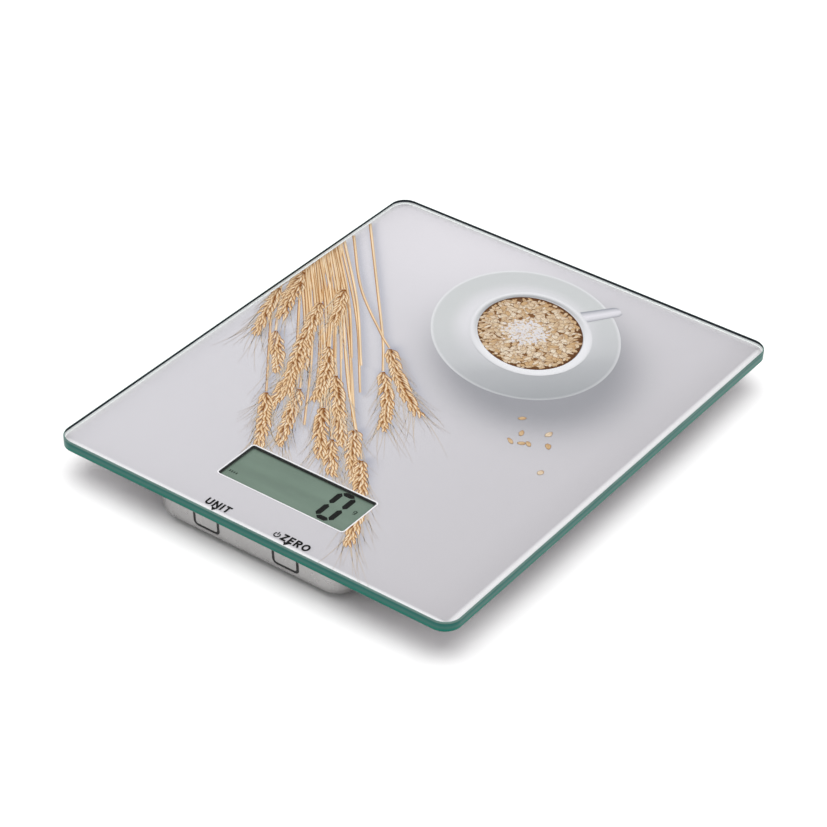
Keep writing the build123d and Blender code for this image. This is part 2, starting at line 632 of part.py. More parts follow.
def door_latch_slots():
    """Two slots that free the latch tongue from the door's front edge."""
    front = WELL_Y - DOOR_LENGTH / 2
    slots = []
    for side in SIDES.values():
        x = side * (LATCH_WIDTH + LATCH_SLOT) / 2
        y = front + LATCH_LENGTH / 2
        slots.append(centred_block(x, y, LATCH_SLOT, LATCH_LENGTH, 0, FAR))
    return slots


def battery_door():
    """A flat door with a hinge barrel and stubs at its back edge and a latch tongue at its front."""
    half = DOOR_WIDTH / 2
    y_range = (WELL_Y - DOOR_LENGTH / 2, HINGE_Y)
    plate = block((-half, half), y_range, (HOUSING_HEIGHT_OFF_TABLE, DOOR_TOP))
    front_corners = plate.edges().filter_by(Axis.Z).group_by(Axis.Y)[0]
    plate = fillet(front_corners, DOOR_CORNER_RADIUS)
    for slot in door_latch_slots():
        plate = plate - slot
    door = plate + rod_along_x((-half, half), HINGE_Y, HINGE_HEIGHT, HINGE_BARREL_RADIUS)
    reach = half + HINGE_STUB_LENGTH
    door = door + rod_along_x((-reach, reach), HINGE_Y, HINGE_HEIGHT, HINGE_STUB_RADIUS)
    for groove in grip_grooves():
        door = door - groove
    return door


def grip_grooves():
    """Finger grooves across the latch tongue's underside."""
    first = WELL_Y - DOOR_LENGTH / 2 + LATCH_SLOT
    top = HOUSING_HEIGHT_OFF_TABLE + LATCH_SLOT / 2
    grooves = []
    for index in range(GRIP_GROOVES):
        y = first + (index + 0.5) * LATCH_LENGTH / GRIP_GROOVES
        grooves.append(centred_block(0, y, LATCH_WIDTH - 2 * LATCH_SLOT, LATCH_SLOT, 0, top))
    return grooves


def negative_contact():
    """Leaf that presses on the cell's cap and ends in a solder tab on top of the well."""
    y = negative_slot_y()
    half = CONTACT_THICKNESS / 2
    tab = block(
        (-CONTACT_WIDTH / 2, CONTACT_WIDTH / 2),
        (y - CONTACT_TAB, y + half),
        (WELL_TOP, WELL_TOP + CONTACT_THICKNESS),
    )
    leg = centred_block(0, y, CONTACT_WIDTH, CONTACT_THICKNESS, POCKET_TOP - CONTACT_THICKNESS, WELL_TOP)
    leaf_points = [
        (y - half, POCKET_TOP),
        (y - half, POCKET_TOP - CONTACT_THICKNESS),
        (WELL_Y, CELL_TOP),
        (WELL_Y + CONTACT_TAB, CELL_TOP),
        (WELL_Y + CONTACT_TAB, CELL_TOP + CONTACT_THICKNESS),
        (WELL_Y, CELL_TOP + CONTACT_THICKNESS),
    ]
    outline = Plane.YZ * make_face(Polyline(*leaf_points, close=True))
    leaf = extrude(outline, amount=CONTACT_WIDTH / 2, both=True)
    return tab + leg + leaf


def positive_contact():
    """Strip beside the cell's rim, bent outwards into a solder tab on top of the well."""
    x = CELL_RADIUS + CONTACT_THICKNESS / 2
    strip = centred_block(x, WELL_Y, CONTACT_THICKNESS, CONTACT_WIDTH, CELL_BOTTOM, WELL_TOP)
    tab = block(
        (CELL_RADIUS, CELL_RADIUS + CONTACT_TAB),
        (WELL_Y - CONTACT_WIDTH / 2, WELL_Y + CONTACT_WIDTH / 2),
        (WELL_TOP, WELL_TOP + CONTACT_THICKNESS),
    )
    return strip + tab


def battery_lead(x, start_y):
    """Wire from a solder tab on the well, forwards and down to the board."""
    run_height = WELL_TOP + CONTACT_THICKNESS + LEAD_RADIUS
    end_y = BOARD_REAR - LEAD_BEND_RADIUS
    path = FilletPolyline(
        (x, start_y, run_height),
        (x, end_y, run_height),
        (x, end_y, BOARD_TOP_HEIGHT),
        radius=LEAD_BEND_RADIUS,
    )
    section = Plane(origin=path @ 0, z_dir=path % 0) * Circle(LEAD_RADIUS)
    return sweep(section, path=path)


# ---- Sensing feet ---------------------------------------------------------------------
def sensor_seat(x, y):
    """Square plastic seat, open at the bottom, with a shoulder above the plate and four catches."""
    inner = SEAT_SIZE - 2 * SEAT_WALL
    inner_radius = SEAT_CORNER_RADIUS - SEAT_WALL
    seat = rounded_plate(x, y, SEAT_SIZE, SEAT_SIZE, SEAT_CORNER_RADIUS, SEAT_BOTTOM, BOND_BACK)
    seat = seat - rounded_plate(x, y, inner, inner, inner_radius, SEAT_BOTTOM, SEAT_CEILING)
    shoulder_inner = inner - 2 * SEAT_SHOULDER
    shoulder = rounded_plate(x, y, inner, inner, inner_radius, SHOULDER_BOTTOM, SEAT_CEILING)
    shoulder = shoulder - rounded_plate(
        x, y, shoulder_inner, shoulder_inner, inner_radius / 2, SHOULDER_BOTTOM, SEAT_CEILING
    )
    seat = seat + shoulder
    catch_top = PLATE_BOTTOM - SLIP_FIT
    for sign in SIDES.values():
        offset = sign * (inner / 2 - SEAT_CATCH_DEPTH / 2 + SLIP_FIT / 2)
        depth = SEAT_CATCH_DEPTH + SLIP_FIT
        heights = (catch_top - SEAT_CATCH_HEIGHT, catch_top)
        seat = seat + centred_block(x + offset, y, depth, SEAT_CATCH_LENGTH, *heights)
        seat = seat + centred_block(x, y + offset, SEAT_CATCH_LENGTH, depth, *heights)
    return seat - seat_notch(x, y)


def seat_notch(x, y):
    """Slot in the seat's wall for its cable: in the inner side at the front, the front side at the rear."""
    side = math.copysign(1, x)
    reach = SEAT_WALL + SEAT_SHOULDER
    heights = (NOTCH_BOTTOM, SEAT_CEILING)
    if y < 0:
        wall_x = x - side * (SEAT_SIZE / 2 - reach / 2)
        return centred_block(wall_x, y, reach, NOTCH_WIDTH, *heights)
    wall_y = y - (SEAT_SIZE / 2 - reach / 2)
    return centred_block(x - side * REAR_CABLE_SEAT_SHIFT, wall_y, NOTCH_WIDTH, reach, *heights)


def seat_bond_pads():
    pads = [
        rounded_plate(x, y, SEAT_SIZE, SEAT_SIZE, SEAT_CORNER_RADIUS, BOND_BACK, PRINT_BACK)
        for x, y in CORNERS.values()
    ]
    return Compound(children=pads)


def sensor_plate(x, y):
    """Steel plate with a U-shaped slot that leaves a tongue for the foot to push on."""
    plate = rounded_plate(x, y, PLATE_SIZE, PLATE_SIZE, SEAT_CORNER_RADIUS / 2, PLATE_BOTTOM, PLATE_TOP)
    opening = PLATE_SIZE - 2 * PLATE_FRAME
    cut = centred_block(x, y, opening, opening, PLATE_BOTTOM, PLATE_TOP)
    side = math.copysign(1, y)
    tongue_y = y + side * PLATE_SLOT
    cut = cut - centred_block(x, tongue_y, TONGUE_WIDTH, opening, PLATE_BOTTOM, PLATE_TOP)
    return plate - cut


def strain_gauge(x, y):
    """White sealing compound over the gauge on the tongue."""
    width, depth, height = GAUGE_SIZE
    pad = centred_block(x, y, width, depth, PLATE_TOP, PLATE_TOP + height)
    return fillet(pad.edges().filter_by(Axis.Z), depth / 3)


def foot_cup(x, y):
    """Round plastic foot with a stem up to the plate's tongue and a recess for its pad."""
    cup = disc(x, y, CUP_RADIUS, CUP_FLOOR_HEIGHT, CUP_TOP)
    cup = fillet(cup.edges().group_by(Axis.Z)[0], CUP_EDGE_RADIUS)
    cup = cup + disc(x, y, CUP_STEM_RADIUS, CUP_FLOOR_HEIGHT, PLATE_BOTTOM)
    recess_radius = PAD_RADIUS + SLIP_FIT
    return cup - disc(x, y, recess_radius, CUP_FLOOR_HEIGHT, PAD_THICKNESS)


def foot_pad(x, y):
    """Rubber pad with a ring groove in its underside."""
    pad = disc(x, y, PAD_RADIUS, 0, PAD_THICKNESS)
    groove = disc(x, y, PAD_GROOVE_RADIUS, 0, PAD_GROOVE_DEPTH)
    groove = groove - disc(x, y, PAD_GROOVE_RADIUS - PAD_GROOVE_WIDTH, 0, PAD_GROOVE_DEPTH)
    return pad - groove


# ---- Sensor cables --------------------------------------------------------------------
def ribbon(path):
    """A flat three-wire cable along a level path."""
    strip = trace(path, line_width=CABLE_WIDTH)
    return Pos(0, 0, CABLE_BOTTOM) * extrude(strip, amount=CABLE_THICKNESS)


def front_cable(side):
    seat_x = side * (FOOT_X - SEAT_SIZE / 2 + SEAT_WALL + CABLE_SEAT_REACH)
    end_x = side * (FRONT_CABLE_X - PLUG_SIZE[0] / 2)
    low, high = sorted((seat_x, end_x))
    y_range = (-FOOT_Y - CABLE_WIDTH / 2, -FOOT_Y + CABLE_WIDTH / 2)
    return block((low, high), y_range, (CABLE_BOTTOM, CABLE_TOP))


def rear_cable_points(side):
    """Corners of a rear cable's route: out of the seat, across, and straight into the housing."""
    seat_x = side * (FOOT_X - REAR_CABLE_SEAT_SHIFT)
    seat_y = FOOT_Y - SEAT_SIZE / 2 + SEAT_WALL + CABLE_SEAT_REACH
    enter_x = side * REAR_CABLE_OFFSET
    enter_y = HOUSING_REAR + REAR_CABLE_STRAIGHT
    turn_y = (seat_y + enter_y) / 2
    return [(seat_x, seat_y), (seat_x, turn_y), (enter_x, enter_y), (enter_x, REAR_PLUG_Y)]


def rear_cable_bend(points):
    """The wanted bend radius, or the largest that leaves the two clipped runs straight in their clips."""
    runs = [math.dist(points[0], points[1]), math.dist(points[1], points[2])]
    turn = math.atan2(abs(points[2][0] - points[1][0]), abs(points[1][1] - points[2][1]))
    room = min(runs) / 2 - CLIP_LENGTH / 2
    return min(CABLE_BEND_RADIUS, room / math.tan(turn / 2))


def rear_cable(side):
    points = rear_cable_points(side)
    return ribbon(FilletPolyline(*points, radius=rear_cable_bend(points)))


def cable_clip(start, end):
    """Saddle stuck under the glass half-way along a straight run, with a channel for the cable."""
    x = (start[0] + end[0]) / 2
    y = (start[1] + end[1]) / 2
    angle = math.degrees(math.atan2(end[1] - start[1], end[0] - start[0])) - 90
    width = CABLE_WIDTH + 2 * CLIP_WALL
    clip = centred_block(0, 0, width, CLIP_LENGTH, CABLE_BOTTOM - CLIP_FLOOR, PRINT_BACK)
    channel_width = CABLE_WIDTH + 2 * SLIP_FIT
    channel = centred_block(0, 0, channel_width, CLIP_LENGTH, CABLE_BOTTOM - SLIP_FIT, CABLE_TOP + SLIP_FIT)
    return Pos(x, y, 0) * Rot(0, 0, angle) * (clip - channel)


def cable_clips():
    clips = []
    for side in SIDES.values():
        points = rear_cable_points(side)
        clips.append(cable_clip(points[0], points[1]))
        clips.append(cable_clip(points[1], points[2]))
    return Compound(children=clips)


# ---- Write every node -----------------------------------------------------------------
def main():
    os.makedirs("parts", exist_ok=True)
    save("glass_platform", glass_platform())
    save("printed_decor", printed_decor())
    save_under_glass("housing_bond_tape", housing_bond_tape())
    save_under_glass("housing_shell", housing_shell())
    save_under_glass("rating_label", rating_label())
    save_under_glass("lcd_gasket", lcd_gasket())
    save_under_glass("lcd_bezel", lcd_bezel())
    save_under_glass("lcd_front_glass", lcd_front_glass())
    save_under_glass("lcd_rear_glass", lcd_rear_glass())
    save_under_glass("lcd_reflector", lcd_reflector())
    save_under_glass("lcd_connector_strips", lcd_connector_strips())
    save_under_glass("main_board", main_board())
    save_under_glass("controller_blob", controller_blob())
    save_under_glass("chip_capacitors", chip_capacitors())
    save_under_glass("cable_connectors", cable_connectors())
    save_under_glass("board_screws", board_screws())
    save_under_glass("keypad_membrane", keypad_membrane())
    for name, x in BUTTONS.items():
        save_under_glass(f"{name}_button_cap", button_cap(x))
        save_under_glass(f"{name}_switch", tact_switch(x))
        save_under_glass(f"{name}_switch_plunger", switch_plunger(x))
    save_under_glass("coin_cell", coin_cell())
    save_under_glass("battery_door", battery_door())
    save_under_glass("negative_contact", negative_contact())
    save_under_glass("positive_contact", positive_contact())
    save_under_glass("negative_battery_lead", battery_lead(0, negative_slot_y() - CONTACT_THICKNESS))
    save_under_glass("positive_battery_lead", battery_lead(CELL_RADIUS + CONTACT_TAB / 2, WELL_Y))
    save_under_glass("seat_bond_pads", seat_bond_pads())
    for name, (x, y) in CORNERS.items():
        save_under_glass(f"sensor_seat_{name}", sensor_seat(x, y))
        save_under_glass(f"sensor_plate_{name}", sensor_plate(x, y))
        save_under_glass(f"strain_gauge_{name}", strain_gauge(x, y))
        save_under_glass(f"foot_cup_{name}", foot_cup(x, y))
        save_under_glass(f"foot_pad_{name}", foot_pad(x, y))
    for name, side in SIDES.items():
        save_under_glass(f"front_{name}_cable", front_cable(side))
        save_under_glass(f"rear_{name}_cable", rear_cable(side))
    save_under_glass("cable_clips", cable_clips())


main()
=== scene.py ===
import json
import math
import random

import bpy
import numpy as np
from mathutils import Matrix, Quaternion, Vector

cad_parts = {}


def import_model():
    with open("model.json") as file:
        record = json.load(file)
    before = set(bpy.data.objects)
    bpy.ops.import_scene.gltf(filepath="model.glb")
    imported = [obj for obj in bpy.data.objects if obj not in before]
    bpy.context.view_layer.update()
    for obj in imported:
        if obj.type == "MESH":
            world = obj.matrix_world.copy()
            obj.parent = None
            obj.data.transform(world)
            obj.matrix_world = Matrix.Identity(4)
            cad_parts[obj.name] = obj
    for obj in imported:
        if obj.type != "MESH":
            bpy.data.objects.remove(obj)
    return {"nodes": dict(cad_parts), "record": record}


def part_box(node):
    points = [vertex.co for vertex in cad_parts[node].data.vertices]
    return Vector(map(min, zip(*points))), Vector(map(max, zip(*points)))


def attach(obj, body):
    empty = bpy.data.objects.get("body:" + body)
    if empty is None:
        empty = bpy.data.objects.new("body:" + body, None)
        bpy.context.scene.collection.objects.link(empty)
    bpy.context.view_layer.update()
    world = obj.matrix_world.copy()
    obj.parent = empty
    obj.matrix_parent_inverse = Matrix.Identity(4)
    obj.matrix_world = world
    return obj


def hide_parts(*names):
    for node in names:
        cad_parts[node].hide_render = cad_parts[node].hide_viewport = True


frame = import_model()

# The looks of a glass kitchen scale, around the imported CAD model.
# Blender works in metres; the drawing of the print is laid out in millimetres.
MM = 0.001
SCENE = bpy.context.scene
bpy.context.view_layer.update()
RANDOM = random.Random(11)

# ---- Camera ---------------------------------------------------------------------------
CAMERA_PLACE = Vector((0.463547, -0.672593, 0.595249))
CAMERA_AIM = Vector((-0.00745, 0.00527, 0.0))
CAMERA_ROLL = math.radians(2.075)
CAMERA_LENS = 124.3
SENSOR_WIDTH = 36.0

# ---- Places taken from the frame, in millimetres --------------------------------------
def box_mm(node):
    """Lowest and highest corner of a CAD node, in millimetres."""
    return [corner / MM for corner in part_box(node)]


GLASS_LOW, GLASS_HIGH = box_mm("glass_platform")
PRINT_LOW, PRINT_HIGH = box_mm("printed_decor")
LCD_LOW, LCD_HIGH = box_mm("lcd_front_glass")
GLASS_FRONT = GLASS_LOW.y
GLASS_LEFT = GLASS_LOW.x

# ---- Glass ----------------------------------------------------------------------------
GLASS_CORNER_RADIUS = 6.5
ARRIS = 0.5
PAINTED_SHADE_FROM = (0.6, 1.1)     # heights in the glass between which its wall, seen from inside, turns to painted shade
# Painted shade on the wall seen from inside, for the dark line along the far edges
INNER_PAINTED_SHADE = (34, 38, 46)
EDGE_SPECULAR = 0.12
# The edge's colours, each with its share of the glass's height: the glass's clear green, with painted
# reflection making it greyer from the middle up.
EDGE_STOPS = ((0.0, (0, 84, 70)), (0.22, (0, 106, 91)), (0.5, (62, 108, 100)), (0.72, (38, 100, 92)),
              (1.0, (40, 92, 84)))
CORNER_STEPS = 16
ARRIS_STEPS = 5
GLASS_IOR = 1.5

# ---- Print: heights of the ink layers above the table ---------------------------------
INK_CLEARANCE = 0.01       # between the highest ink and the glass
INK_TOP = PRINT_HIGH.z - INK_CLEARANCE
INK_BACK = PRINT_LOW.z
INK_SHARE = INK_TOP - INK_BACK


def ink_height(share):
    """Height of an ink layer: 0 is the print's back, 1 its face against the glass."""
    return INK_BACK + share * INK_SHARE


# Each layer's share of the ink's height, from the ground up. The coats after them are
# thicknesses in millimetres.
GROUND_LAYER = 0.2
SAUCER_LAYER = 0.30
STALK_LAYERS = (0.34, 0.50)
OATS_BED_LAYER = 0.38
FLAKE_LAYERS = (0.46, 0.66)
LOOSE_FLAKE_LAYER = 0.6
HEAD_LAYER = 0.60
HEAD_LAYERS = 0.30         # times an ear's order, which runs from 0 to 0.8
HANDLE_LAYER = 0.62
CUP_LAYER = 0.68
MEAL_LAYERS = (0.70, 0.78)
WINDOW_LINE_LAYER = 0.95
WORD_LAYER = 0.97
COAT = 0.02
STALK_COAT = 0.01
KERNEL_COAT = 0.006
BRISTLE_COAT = 0.004
FLAKE_COAT = 0.004
MEAL_COAT = 0.003

# Window and rim of the print.
WINDOW_WIDTH = 52.8
WINDOW_DEPTH = 19.5
WINDOW_X = (LCD_LOW.x + LCD_HIGH.x) / 2
WINDOW_Y = (LCD_LOW.y + LCD_HIGH.y) / 2
WINDOW_RADIUS = 1.0
WINDOW_LINE = 0.5
PRINT_CORNER_RADIUS = 5.9
PRINT_MARGIN = 0.3         # the picture ends this far inside the print's edges
RIM_LIGHT = 2.2            # width of the lighter rim of the print, partly its own light edge and partly painted light from the glass's edge
RIM_FULL = 1.2             # above 1, the rim is at its lightest for part of its width
RIM_FADE = 1.5
NEAR_SHIFT = 2.6           # the rim's painted light lies this far in along the front and the right, as the glass's edge shows it from the camera
NEAR_NARROWING = 2.4       # and is this much narrower there
GRID_STEP = 0.8
GRID_SLACK = 1e-4
RIM_STEPS = (1.0, 0.8, 0.6, 0.4, 0.2, 0.0)    # grid lines across the light rim, as shares of its width
CORNER_LINES = 8           # grid steps round the print's corners

# Ground: it darkens to the right and the front, and is lighter round one point at the back.
GROUND_START = -82.0
GROUND_LENGTH = 185.0
GROUND_LEAN = 0.3          # how much a step to the front counts, of one to the right
GLOW_CENTRE = (-50, 92)
GLOW_SIZE = (62, 46)
RIGHT_FROM = 66            # the right side darkens once more from here
RIGHT_WIDTH = 14
RIGHT_STRENGTH = 0.7

# Colours as seen, in sRGB steps of 255.
GROUND_LIGHT = (229, 227, 232)
GROUND_MID = (217, 216, 221)
GROUND_DARK = (200, 198, 202)
GROUND_EDGE = (195, 193, 197)
# Light rim: partly the print's own edge, partly painted light from the glass's edge
RIM_PRINT_AND_EDGE_LIGHT = (248, 248, 250)
WINDOW_WHITE = (246, 246, 249)
GROUND_BACK = (206, 206, 209)   # the even coat behind the picture
GROUND_SHADOW = (160, 163, 178)
SAUCER_SHADOW = (158, 159, 164)
STRAW = (224, 180, 126)
STRAW_LIGHT = (252, 238, 210)
STRAW_DARK = (158, 102, 56)
STRAW_DEEP = (118, 72, 40)
AWN = (206, 198, 170)
SAUCER = (208, 211, 212)
SAUCER_LIGHT = (226, 226, 230)
SAUCER_MID = (194, 196, 199)
SAUCER_DARK = (168, 171, 174)
CHINA_WHITE = (237, 238, 241)
CHINA_SHADE = (176, 178, 180)
OAT = (214, 182, 138)
OAT_LIGHT = (246, 234, 212)
OAT_DARK = (164, 118, 76)
OAT_EDGE = (104, 66, 38)
OAT_GAP = (92, 62, 42)
POWDER = (220, 220, 229)
HANDLE_TONES = ((176, 178, 184), (222, 221, 227), (232, 231, 237), (206, 206, 213), (150, 154, 161))
INK_BLACK = (24, 21, 22)
SMALL_MARKS = (90, 100, 94)
DISPLAY = (119, 138, 125)
INK_GAIN = (1.109, 1.186, 1.159)   # how bright an ink looks under the glass in this light
GLASS_SHEEN = 0.017        # light off the glass that lies over every ink
INK_LIMITS = (0.004, 0.95)


def linear(colour):
    """Linear RGB of an sRGB colour given in steps of 255."""
    parts = [c / 255 for c in colour]
    return [p / 12.92 if p <= 0.04045 else ((p + 0.055) / 1.055) ** 2.4 for p in parts]


def ink(colour):
    """Linear ink colour for a seen colour."""
    return np.clip((np.array(linear(colour)) - GLASS_SHEEN) / np.array(INK_GAIN), *INK_LIMITS)


def blend_inks(first, second, share):
    """Mix of two inks; share may be an array."""
    share = np.clip(np.asarray(share, float), 0, 1)[..., None]
    return np.asarray(first) * (1 - share) + np.asarray(second) * share


def tint(inks, colour, share):
    """Inks mixed towards a seen colour."""
    return blend_inks(inks, ink(colour), share)


# ---- Mesh building --------------------------------------------------------------------
def rounded_outline(width, depth, radius, steps=CORNER_STEPS):
    """Points of a rounded rectangle about the origin, anticlockwise."""
    points = []
    for quarter, (sx, sy) in enumerate(((1, -1), (1, 1), (-1, 1), (-1, -1))):
        centre = (sx * (width / 2 - radius), sy * (depth / 2 - radius))
        start = math.radians(90 * (quarter - 1))
        for step in range(steps + 1):
            angle = start + math.radians(90) * step / steps
            points.append((centre[0] + radius * math.cos(angle), centre[1] + radius * math.sin(angle)))
    return np.array(points)


def new_object(name, mesh, material, body="platform"):
    """Puts a mesh into the scene with its material, riding on a CAD body."""
    obj = bpy.data.objects.new(name, mesh)
    SCENE.collection.objects.link(obj)
    for each in material if isinstance(material, list) else [material]:
        mesh.materials.append(each)
    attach(obj, body)
    return obj


class Ink:
    """Flat ink shapes gathered into one mesh of thin closed slabs."""

    def __init__(self, thickness, backing=None):
        self.points, self.colours, self.faces = [], [], []
        self.thickness = thickness
        self.backing = backing

    def patch(self, x, y, height, colours, wrap=False):
        """A grid of points, rows by columns, filled with quads. Colours go with the points."""
        rows, columns = x.shape
        first = len(self.points)
        heights = np.broadcast_to(height, x.shape)
        self.points += list(zip(x.ravel(), y.ravel(), heights.ravel()))
        self.colours += list(np.broadcast_to(colours, (rows, columns, 3)).reshape(-1, 3))
        spans = columns if wrap else columns - 1
        for row in range(rows - 1):
            for column in range(spans):
                right = (column + 1) % columns
                a = first + row * columns + column
                b = first + row * columns + right
                self.faces.append((a, b, b + columns, a + columns))

    def ribbon(self, centre, width, height, colours):
        """A strip along a line of points. Colours are one ink for each point across and along."""
        centre = np.asarray(centre, float)
        along = np.gradient(centre, axis=0)
        along /= np.linalg.norm(along, axis=1)[:, None] + 1e-9
        normal = np.stack([-along[:, 1], along[:, 0]], axis=1)
        across = np.linspace(-0.5, 0.5, colours.shape[1])
        offset = np.asarray(width, float).reshape(-1, 1) * across[None, :]
        x = centre[:, :1] + normal[:, :1] * offset
        y = centre[:, 1:] + normal[:, 1:] * offset
        self.patch(x, y, height, colours)

    def polygon(self, points, height, colour):
        """One flat face."""
        first = len(self.points)
        self.points += [(px, py, height) for px, py in points]
        self.colours += [np.asarray(colour)] * len(points)
        self.faces.append(tuple(range(first, first + len(points))))

    def cut_point(self, a, b, axis, limit):
        """Point where the line between two points crosses a limit along one axis."""
        key = (min(a, b), max(a, b), axis, limit)
        if key not in self.cuts:
            a, b = key[:2]
            share = (limit - self.points[a][axis]) / (self.points[b][axis] - self.points[a][axis])
            self.cuts[key] = len(self.points)
            start, end = np.array(self.points[a]), np.array(self.points[b])
            self.points.append(tuple(start * (1 - share) + end * share))
            self.colours.append(self.colours[a] * (1 - share) + self.colours[b] * share)
        return self.cuts[key]

    def split(self, face, axis, limit, sign):
        """The parts of a face beyond a limit and short of it."""
        beyond, short = [], []
        for a, b in zip(face, face[1:] + face[:1]):
            side_a = sign * (self.points[a][axis] - limit)
            side_b = sign * (self.points[b][axis] - limit)
            (beyond if side_a > 0 else short).append(a)
            if (side_a > 0) != (side_b > 0):
                cut = self.cut_point(a, b, axis, limit)
                beyond.append(cut)
                short.append(cut)
        return [tuple(part) if len(part) > 2 else () for part in (beyond, short)]

    def cut_window(self):
        """Takes away what lies inside the window."""
        self.cuts = {}
        left, right = WINDOW_X - WINDOW_WIDTH / 2, WINDOW_X + WINDOW_WIDTH / 2
        low, high = WINDOW_Y - WINDOW_DEPTH / 2, WINDOW_Y + WINDOW_DEPTH / 2
        kept = []
        for face in self.faces:
            corners = np.array([self.points[i][:2] for i in face])
            least, most = corners.min(axis=0), corners.max(axis=0)
            if most[0] <= left or least[0] >= right or most[1] <= low or least[1] >= high:
                kept.append(face)
                continue
            rest = face
            for axis, limit, sign in ((0, left, -1), (0, right, 1), (1, low, -1), (1, high, 1)):
                part, rest = self.split(rest, axis, limit, sign) if rest else ((), ())
                kept += [part] if part else []
        self.faces = kept

    def cut_rim(self):
        """Takes away what lies beyond the print's edges."""
        self.cuts = {}
        limits = ((0, PRINT_LOW.x + PRINT_MARGIN, -1), (0, PRINT_HIGH.x - PRINT_MARGIN, 1),
                  (1, PRINT_LOW.y + PRINT_MARGIN, -1), (1, PRINT_HIGH.y - PRINT_MARGIN, 1))
        for axis, limit, sign in limits:
            kept = [self.split(face, axis, limit, sign)[1] for face in self.faces]
            self.faces = [face for face in kept if face]

    def drop_unused(self):
        """Leaves out the points that no face uses."""
        used = sorted({i for face in self.faces for i in face})
        place = {old: new for new, old in enumerate(used)}
        self.points = [self.points[i] for i in used]
        self.colours = [self.colours[i] for i in used]
        self.faces = [tuple(place[i] for i in face) for face in self.faces]

    def oriented(self, face):
        """The face with its points anticlockwise from above."""
        corners = np.array([self.points[i][:2] for i in face])
        following = np.roll(corners, -1, axis=0)
        area = (corners[:, 0] * following[:, 1] - following[:, 0] * corners[:, 1]).sum()
        return tuple(face) if area >= 0 else tuple(reversed(face))

    def closed_faces(self):
        """Top faces, the same faces underneath, and walls along every open edge."""
        tops = [self.oriented(face) for face in self.faces]
        count = len(self.points)
        edges = {}
        for face in tops:
            for a, b in zip(face, face[1:] + face[:1]):
                edges[a, b] = True
        walls = [(b, a, a + count, b + count) for a, b in edges if (b, a) not in edges]
        return tops + [tuple(i + count for i in reversed(face)) for face in tops] + walls

    def move(self, x):
        """Moves everything sideways."""
        self.points = [(px + x, py, pz) for px, py, pz in self.points]

    def build_motif(self, name):
        """Part of the picture: moved with it, and left out of the window and beyond the print."""
        self.move(MOTIF_X)
        self.cut_window()
        self.cut_rim()
        return self.build(name, PRINTED)

    def build(self, name, material):
        self.drop_unused()
        tops = np.array(self.points, float)
        backs = tops - np.array([0, 0, self.thickness])
        faces = self.closed_faces()
        mesh = bpy.data.meshes.new(name)
        mesh.from_pydata((np.concatenate([tops, backs]) * MM).tolist(), [], faces)
        colours = np.ones((2 * len(tops), 4))
        colours[:, :3] = np.tile(np.array(self.colours), (2, 1))
        if self.backing is not None:
            colours[len(tops):, :3] = self.backing
        layer = mesh.color_attributes.new("Ink", "FLOAT_COLOR", "POINT")
        layer.data.foreach_set("color", colours.astype(np.float32).ravel())
        obj = new_object(name, mesh, material)
        return obj


# ---- Material building ----------------------------------------------------------------
class Shader:
    """A material's node tree, built one node at a time."""

    def __init__(self, name):
        self.material = bpy.data.materials.new(name)
        self.material.use_nodes = True
        self.tree = self.material.node_tree
        self.tree.nodes.clear()
        self.output = self.tree.nodes.new("ShaderNodeOutputMaterial")
        self.place = self.node("ShaderNodeTexCoord").outputs["Object"]

    def node(self, kind, settings=None, **inputs):
        """Adds a node, sets its properties, and sets or links its inputs by name."""
        made = self.tree.nodes.new(kind)
        for key, value in (settings or {}).items():
            setattr(made, key, value)
        for key, value in inputs.items():
            self.feed(made, key.replace("_", " "), value)
        return made

    def feed(self, node, key, value):
        socket = node.inputs[int(key)] if key.isdigit() else node.inputs[key]
        if isinstance(value, bpy.types.NodeSocket):
            self.tree.links.new(value, socket)
        else:
            socket.default_value = value

    def maths(self, operation, first, second=0.0, third=0.0):
        made = self.node("ShaderNodeMath", {"operation": operation})
        for index, value in enumerate((first, second, third)):
            self.feed(made, str(index), value)
        return made.outputs[0]

    def noise(self, size, detail=3.0, stretch=(1, 1, 1), roughness=0.5):
        """Noise with features of about size millimetres, as a value round 0.5."""
        scaled = self.node("ShaderNodeMapping", Vector=self.place, Scale=stretch).outputs[0]
        made = self.node("ShaderNodeTexNoise", Vector=scaled, Scale=1 / (size * MM), Detail=detail,
                         Roughness=roughness)
        return made.outputs["Fac"]

    def ramp(self, value, low, high, start=0.0, end=1.0):
        """Linear remap of a value, held at both ends."""
        made = self.node("ShaderNodeMapRange")
        keys = ("Value", "From Min", "From Max", "To Min", "To Max")
        for key, part in zip(keys, (value, low, high, start, end)):
            self.feed(made, key, part)
        return made.outputs[0]

    def mix(self, share, first, second):
        """Mix of two colours."""
        made = self.node("ShaderNodeMix", {"data_type": "RGBA"})
        for socket, value in ((made.inputs[0], share), (made.inputs[6], first), (made.inputs[7], second)):
            if isinstance(value, bpy.types.NodeSocket):
                self.tree.links.new(value, socket)
            else:
                socket.default_value = value
        return made.outputs[2]

    def bump(self, height, depth, below=None):
        """Bump of a height in 0 to 1, depth millimetres deep."""
        made = self.node("ShaderNodeBump", Height=height, Distance=depth * MM, Strength=1.0)
        if below is not None:
            self.feed(made, "Normal", below)
        return made.outputs[0]

    def finish(self, surface):
        self.tree.links.new(surface, self.output.inputs["Surface"])
        return self.material


def rgba(colour):
    return (*linear(colour), 1.0)


def shifted(colour, share):
    """A colour made lighter, or darker with a share below 0."""
    target = 255 if share > 0 else 0
    return tuple(c + (target - c) * abs(share) for c in colour)


